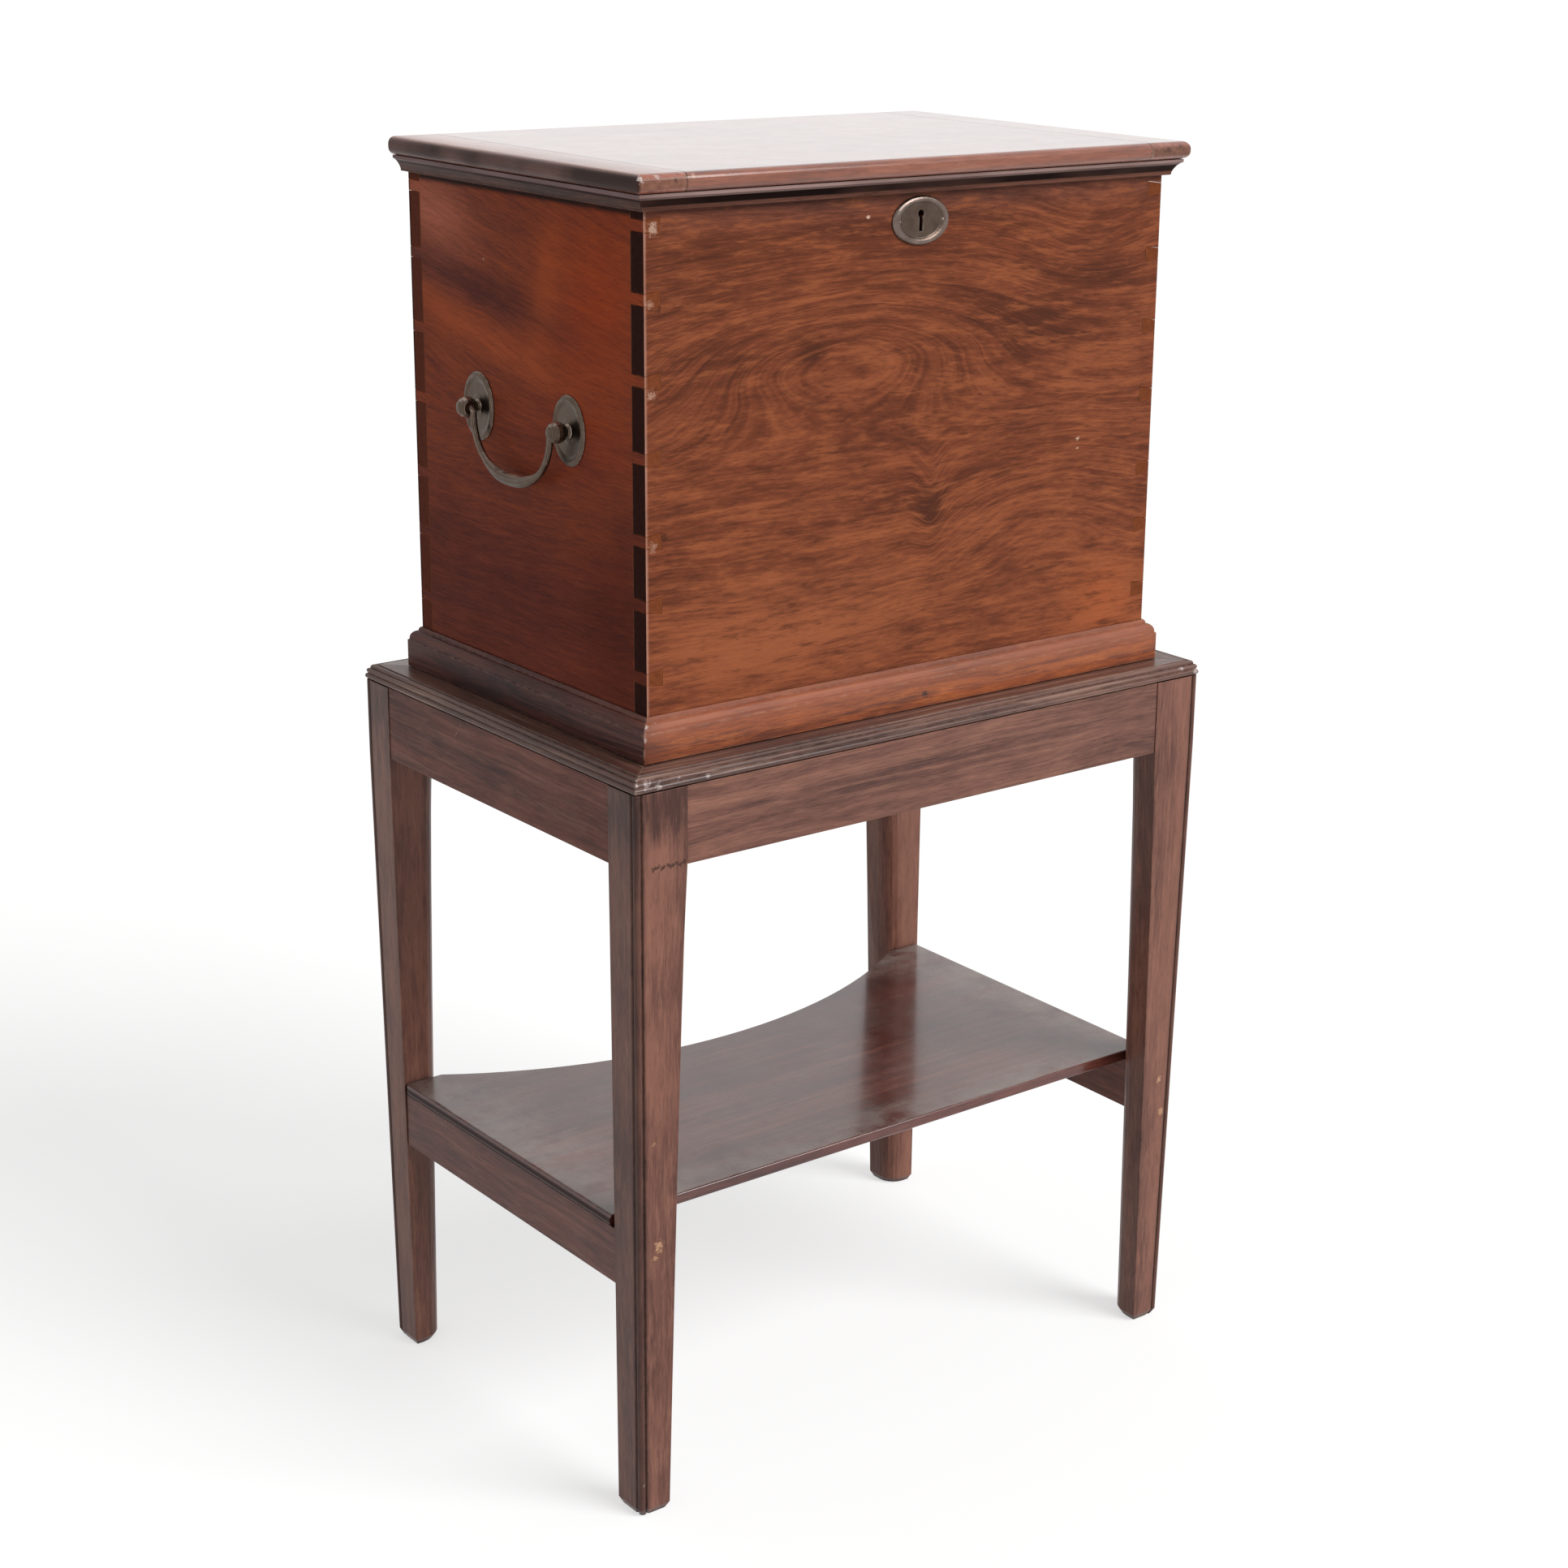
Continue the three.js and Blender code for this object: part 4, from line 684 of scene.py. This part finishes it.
# Each finish goes to the pieces whose names start with its key; the longest key wins
FINISHES = {
    "case_front": mahogany(
        "front_board", "xzy", FRONT, 2.3, bumps=FRONT_FIGURE, streaks=0.92, patches=FRONT_PATCHES, lines=0.4,
        flecks=0.7, glows=FRONT_GLOWS, ends=TAIL_ENDS, washes=(ARRIS,), inner=("y", -INNER_HALF_DEPTH, 1),
        spots=FRONT_MARKS, grime_and_shade=0.5, gloss=0.1),
    "case_left": mahogany(
        "left_board", "yzx", SIDE, 5.1, swirl=0.012, tilt=(-0.2, 0.69, 0.78), streaks=0.5,
        patches=SIDE_PATCHES, lines=0.16, flecks=0.1, glows=SIDE_GLOWS + (UNDER_LID_SHADOW,), ends=PIN_ENDS,
        washes=(ARRIS, BACK_CORNER), inner=("x", -INNER_HALF_WIDTH, 1), spots=FRONT_MARKS, grime_and_shade=0.5,
        gloss=0.02),
    "case_right": mahogany(
        "right_board", "yzx", SIDE, 8.4, swirl=0.015, tilt=(0.2, 0.6, 0.8), streaks=0.8, lines=0.3,
        glows=(UNDER_LID_SHADOW,), ends=PIN_ENDS, inner=("x", INNER_HALF_WIDTH, -1), grime_and_shade=0.5, gloss=0.05),
    "case_back": mahogany(
        "back_board", "xzy", SIDE, 3.7, streaks=0.8, lines=0.3, ends=BACK_ENDS, washes=(BACK_CORNER_LEFT,),
        inner=("y", INNER_HALF_DEPTH, -1), gloss=0.05),
    "case_bottom": mahogany("bottom_board", "xyz", INNER, 1.2, wear_and_highlight=0.2, roughness=0.7),
    "lid_panel": mahogany(
        "lid_board", "xyz", LID, 6.6, lines=0.2, washes=LID_JOINTS + (LID_FRONT,), spots=LID_MARKS[3:4],
        wear_and_highlight=0.8, rubbed_and_highlight=srgb(190, 150, 130), roughness=0.2, gloss=0.5, coat=0.9),
    # Both cleats' end grain colours, here and below, are light: partly a painted reflection on the end grain
    "lid_cleat": mahogany(
        "cleat_board", "yxz", LID, 9.1, lines=0.2, ends=(srgb(84, 52, 42), srgb(150, 108, 92)),
        spots=LID_MARKS[4:], wear_and_highlight=0.9, rubbed_and_highlight=EDGE_HIGHLIGHT, roughness=0.2, gloss=0.5, coat=0.9),
    "lid_cleat_left": mahogany(
        "left_cleat_board", "yxz", LID, 9.3, lines=0.2, ends=(srgb(96, 58, 46), srgb(158, 114, 96)),
        washes=(LID_END_SHADE,), spots=LID_MARKS[:3], wear_and_highlight=0.7, rubbed_and_highlight=EDGE_HIGHLIGHT, roughness=0.24, gloss=0.4,
        coat=0.8, fade=("x", -0.232, -0.195, 0.15)),
    "lid_moulding_front": mahogany(
        "cove_front", "xzy", COVE_TOE, 4.4, washes=(COVE_SHADE, COVE_FILLET_HIGHLIGHT), wear_and_highlight=0.3,
        rubbed_and_highlight=srgb(138, 106, 94), grime_and_shade=0.25, gloss=0.1),
    "lid_moulding": mahogany(
        "cove_side", "yzx", COVE, 4.9, washes=(SIDE_COVE_SHADE, SIDE_FILLET_HIGHLIGHT), rubbed_and_highlight=srgb(150, 128, 120),
        grime_and_shade=0.25, gloss=0.08),
    "plinth_front": mahogany(
        "plinth_front_wood", "xzy", PLINTH, 7.2, flecks=0.4, washes=(PLINTH_TOP_SHEEN, PLINTH_CORNER),
        spots=PLINTH_MARKS, margin=0.3, wear_and_highlight=0.55, rubbed_and_highlight=srgb(200, 156, 132), gloss=0.4, coat=0.3),
    "plinth_back": mahogany("plinth_back_wood", "xzy", PLINTH_SHADED, 7.9, gloss=0.2),
    "plinth": mahogany(
        "plinth_side_wood", "yzx", PLINTH_SHADED, 2.9, streaks=1.2, wear_and_highlight=0.8, rubbed_and_highlight=srgb(170, 140, 130),
        gloss=0.13),
    "leg": mahogany(
        "leg_wood", "zxy", STAND, 1.9, streaks=0.75, blotch=0.8, patches=LEG_PATCHES, lines=0.15, flecks=0.3,
        spots=STAND_MARKS + LEG_CRACK, quirks=True, margin=0.7, wear_and_highlight=0.6, grime_and_shade=0.8, gloss=0.25),
    "apron_front": mahogany(
        "apron_long_wood", "xzy", STAND, 3.3, streaks=0.9, flecks=0.25, margin=0.3, grime_and_shade=0.8, gloss=0.3),
    "apron_back": mahogany("apron_back_wood", "xzy", STAND, 5.3, gloss=0.25),
    "apron": mahogany(
        "apron_side_wood", "yzx", APRON_SHADED, 4.1, streaks=1.1, flecks=0.3, spots=SCRATCH, margin=0.3,
        gloss=0.12),
    "rim_front": mahogany(
        "rim_long_wood", "xyz", RIM, 6.2, spots=RIM_MARKS, rubbed_and_highlight=srgb(178, 148, 134), gloss=0.35, coat=0.2),
    "rim_back": mahogany("rim_back_wood", "xyz", RIM, 6.8, wear_and_highlight=0.9, gloss=0.45, coat=0.3),
    "rim": mahogany(
        "rim_side_wood", "yxz", RIM, 7.4, spots=RIM_MARKS[:2], wear_and_highlight=0.6, rubbed_and_highlight=srgb(160, 136, 126),
        gloss=0.25, coat=0.1),
    "stretcher": mahogany("stretcher_wood", "yzx", APRON_SHADED, 8.8, flecks=0.3, margin=0.3, gloss=0.25),
    "shelf": mahogany(
        "shelf_wood", "xyz", SHELF, 9.9, streaks=1.2, dust=1.0, roughness=0.17, gloss=0.5, relief=0.03,
        coat=0.35, coat_roughness=0.1),
    "divider_long": mahogany("divider_long_wood", "xzy", INNER, 2.2, wear_and_highlight=0.2, roughness=0.7),
    "divider_cross": mahogany("divider_cross_wood", "yzx", INNER, 3.9, wear_and_highlight=0.2, roughness=0.7),
    "escutcheon": metal(
        "escutcheon_brass", srgb(80, 67, 59), srgb(186, 170, 162),
        rim=(ESCUTCHEON_HALF_WIDTH, ESCUTCHEON_HALF_HEIGHT, 0.76, 0.84, 0.2)),
    "handle": metal("handle_brass", srgb(76, 64, 55), srgb(206, 186, 172), top_highlight=1.0),
    "lock": metal("lock_brass_skin", YELLOW_SKIN, YELLOW_RUBBED, 0.4, 0.5),
    "hinge": metal("hinge_brass", YELLOW_SKIN, YELLOW_RUBBED, 0.4, 0.5),
    "lock_bolt": metal("bolt_iron", IRON_SKIN, IRON_RUBBED, 0.45, 0.6),
}
pin_iron = metal("pin_iron", IRON_SKIN, IRON_RUBBED, 0.45, 0.6)
for side, _ in SIDES:
    FINISHES[f"hinge_{side}_pin"] = pin_iron
    FINISHES[f"handle_{side}_nut"] = pin_iron


def finish_of(name):
    best = max((key for key in FINISHES if name.startswith(key)), key=len)
    return FINISHES[best]


def rounding_of(name):
    if name.startswith(("handle", "escutcheon", "hinge", "lock", "case", "divider")):
        return CRISP_EDGE
    if name.startswith(("lid_panel", "lid_cleat")):
        return LID_EDGE
    return WORN_EDGE


# Worked edges: every CAD piece gets a small real rounding that catches the light
def soften(piece, width):
    weld = piece.modifiers.new("weld", "WELD")
    weld.merge_threshold = WELD_REACH
    bevel = piece.modifiers.new("rounding", "BEVEL")
    bevel.width = width
    bevel.segments = EDGE_SEGMENTS
    bevel.limit_method = "ANGLE"
    bevel.angle_limit = HARD_ANGLE
    bevel.use_clamp_overlap = True
    bevel.harden_normals = True


for name, piece in NODES.items():
    piece.data.materials.clear()
    piece.data.materials.append(finish_of(name))
    soften(piece, rounding_of(name))


# Corners and faces of half a slotted screw head: an arc, closed by its side of the slot
def half_head(radius, turn):
    arc = math.pi - 2 * SLOT_HALF_ANGLE
    angles = [turn + SLOT_HALF_ANGLE + i * arc / HEAD_STEPS for i in range(HEAD_STEPS + 1)]
    corners = [(radius * math.cos(a), radius * math.sin(a), z) for z in (0, SCREW_RISE) for a in angles]
    count = len(angles)
    faces = [tuple(range(count - 1, -1, -1)), tuple(range(count, 2 * count))]
    for i in range(count):
        following = (i + 1) % count
        faces.append((i, following, following + count, i + count))
    return corners, faces


def screw_head(radius):
    corners = []
    faces = []
    for turn in (0, math.pi):
        half_corners, half_faces = half_head(radius, turn)
        faces += [tuple(len(corners) + i for i in face) for face in half_faces]
        corners += half_corners
    return corners, faces


# Corners and faces of a flattened ball, ring by ring from its top
def pin_head():
    corners = [(0, 0, PIN_RISE)]
    for i in range(1, PIN_RINGS):
        down = math.pi * i / PIN_RINGS
        reach = PIN_RADIUS * math.sin(down)
        for j in range(PIN_SEGMENTS):
            around = 2 * math.pi * j / PIN_SEGMENTS
            corners.append((reach * math.cos(around), reach * math.sin(around), PIN_RISE * math.cos(down)))
    lowest = len(corners)
    last_ring = lowest - PIN_SEGMENTS
    corners.append((0, 0, -PIN_RISE))
    faces = []
    for j in range(PIN_SEGMENTS):
        k = (j + 1) % PIN_SEGMENTS
        faces.append((0, 1 + j, 1 + k))
        for upper in range(1, last_ring, PIN_SEGMENTS):
            lower = upper + PIN_SEGMENTS
            faces.append((upper + j, lower + j, lower + k, upper + k))
        faces.append((lowest, last_ring + k, last_ring + j))
    return corners, faces


def fasten(name, shape, finish, body, place, axis, flat=True):
    corners, faces = shape
    mesh = bpy.data.meshes.new(name)
    mesh.from_pydata(corners, [], faces, shade_flat=flat)
    mesh.materials.append(finish)
    made = bpy.data.objects.new(name, mesh)
    bpy.context.scene.collection.objects.link(made)
    made.matrix_world = Matrix.Translation(place) @ Vector(axis).to_track_quat("Z", "Y").to_matrix().to_4x4()
    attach(made, body)


pin_brass = metal("pin_brass", srgb(138, 126, 116), srgb(196, 186, 178))
for side, sign in SIDES:
    fasten(f"escutcheon_pin_{side}", pin_head(), pin_brass, "chest_on_stand",
           (sign * PIN_SHIFT, PIN_FRONT, ESCUTCHEON_HEIGHT), (0, -1, 0), flat=False)

screw_steel = metal("screw_steel", srgb(96, 88, 78), srgb(160, 152, 140), 0.42, 0.6)


# gap is the head's distance from the height of the hinges
def drive_down(name, radius, x, y, gap):
    place = (x, y, HINGE_HEIGHT - gap)
    fasten(name, screw_head(radius), screw_steel, "chest_on_stand", place, (0, 0, 1))


def drive_up(name, radius, x, y, gap):
    place = (x, y, HINGE_HEIGHT + gap)
    fasten(name, screw_head(radius), screw_steel, "lid", place, (0, 0, -1))


for side, sign in SIDES:
    for i, shift in enumerate(HINGE_SCREW_SHIFTS, 1):
        x = sign * HINGE_SHIFT + shift
        drive_down(f"hinge_screw_{side}_case_{i}", HINGE_SCREW_RADIUS, x, HINGE_SCREW_LINE, LEAF_GAP)
        drive_up(f"hinge_screw_{side}_lid_{i}", HINGE_SCREW_RADIUS, x, HINGE_SCREW_LINE, LEAF_GAP)
for i, x in enumerate(LINK_SCREW_SHIFTS, 1):
    drive_up(f"link_screw_{i}", LINK_SCREW_RADIUS, x, LINK_SCREW_LINE, LEAF_GAP)
for i, x in enumerate(LOCK_SCREW_SHIFTS, 1):
    drive_down(f"lock_screw_{i}", LOCK_SCREW_RADIUS, x, LOCK_SCREW_LINE, LOCK_PLATE_DROP)

# Floor. Where it is looked at or mirrored it glows evenly up to white, and keeps half its shadow.
bpy.ops.mesh.primitive_plane_add(size=FLOOR_SIZE, location=(0, 0, 0))
floor = bpy.context.object
floor.name = "floor"
pale = Tree(bpy.data.materials.new("pale_floor"))
lit = pale.node("BsdfDiffuse", {"Color": FLOOR_LIT}).outputs[0]
dimmed = pale.node("BsdfDiffuse", {"Color": FLOOR_SEEN}).outputs[0]
glow = pale.node("Emission", {"Color": WHITE, "Strength": FLOOR_GLOW}).outputs[0]
shown = pale.node("AddShader")
pale.links.new(dimmed, shown.inputs[0])
pale.links.new(glow, shown.inputs[1])
floor.data.materials.append(pale.finish(pale.choose(pale.seen(), lit, shown.outputs[0])))

# The world lights evenly, and shows as plain white where it is looked at or mirrored
world = bpy.data.worlds.new("studio")
bpy.context.scene.world = world
studio = Tree(world)
ambient = studio.node("Background", {"Color": AMBIENT_COLOR, "Strength": AMBIENT}).outputs[0]
white = studio.node("Background", {"Color": WHITE, "Strength": 1.0}).outputs[0]
studio.finish(studio.choose(studio.seen(), ambient, white), "OutputWorld")

sun = bpy.data.lights.new("key", "SUN")
sun.energy = KEY
sun.angle = math.radians(KEY_SPREAD)
lamp = bpy.data.objects.new("key", sun)
bpy.context.scene.collection.objects.link(lamp)
lamp.location = KEY_DIRECTION
lamp.rotation_euler = (-lamp.location).to_track_quat("-Z", "Y").to_euler()

forward = Vector((
    math.sin(AZIMUTH) * math.cos(ELEVATION),
    math.cos(AZIMUTH) * math.cos(ELEVATION),
    -math.sin(ELEVATION),
))
level = forward.cross(Vector((0, 0, 1))).normalized()
upright = level.cross(forward)
right = math.cos(ROLL) * level + math.sin(ROLL) * upright
up = math.cos(ROLL) * upright - math.sin(ROLL) * level
lens = bpy.data.cameras.new("photo_camera")
lens.sensor_width = SENSOR
lens.lens = FOCAL_PIXELS / FRAME_PIXELS * SENSOR
lens.shift_x = (FRAME_PIXELS / 2 - CENTRE_X) / FRAME_PIXELS
lens.shift_y = (CENTRE_Y - FRAME_PIXELS / 2) / FRAME_PIXELS
lens.clip_end = CLIP_END
camera = bpy.data.objects.new("photo_camera", lens)
bpy.context.scene.collection.objects.link(camera)
turn = Matrix((right, up, -forward)).transposed().to_4x4()
camera.matrix_world = Matrix.Translation(CAMERA_PLACE) @ turn
bpy.context.scene.camera = camera
bpy.context.scene.view_settings.view_transform = "Standard"
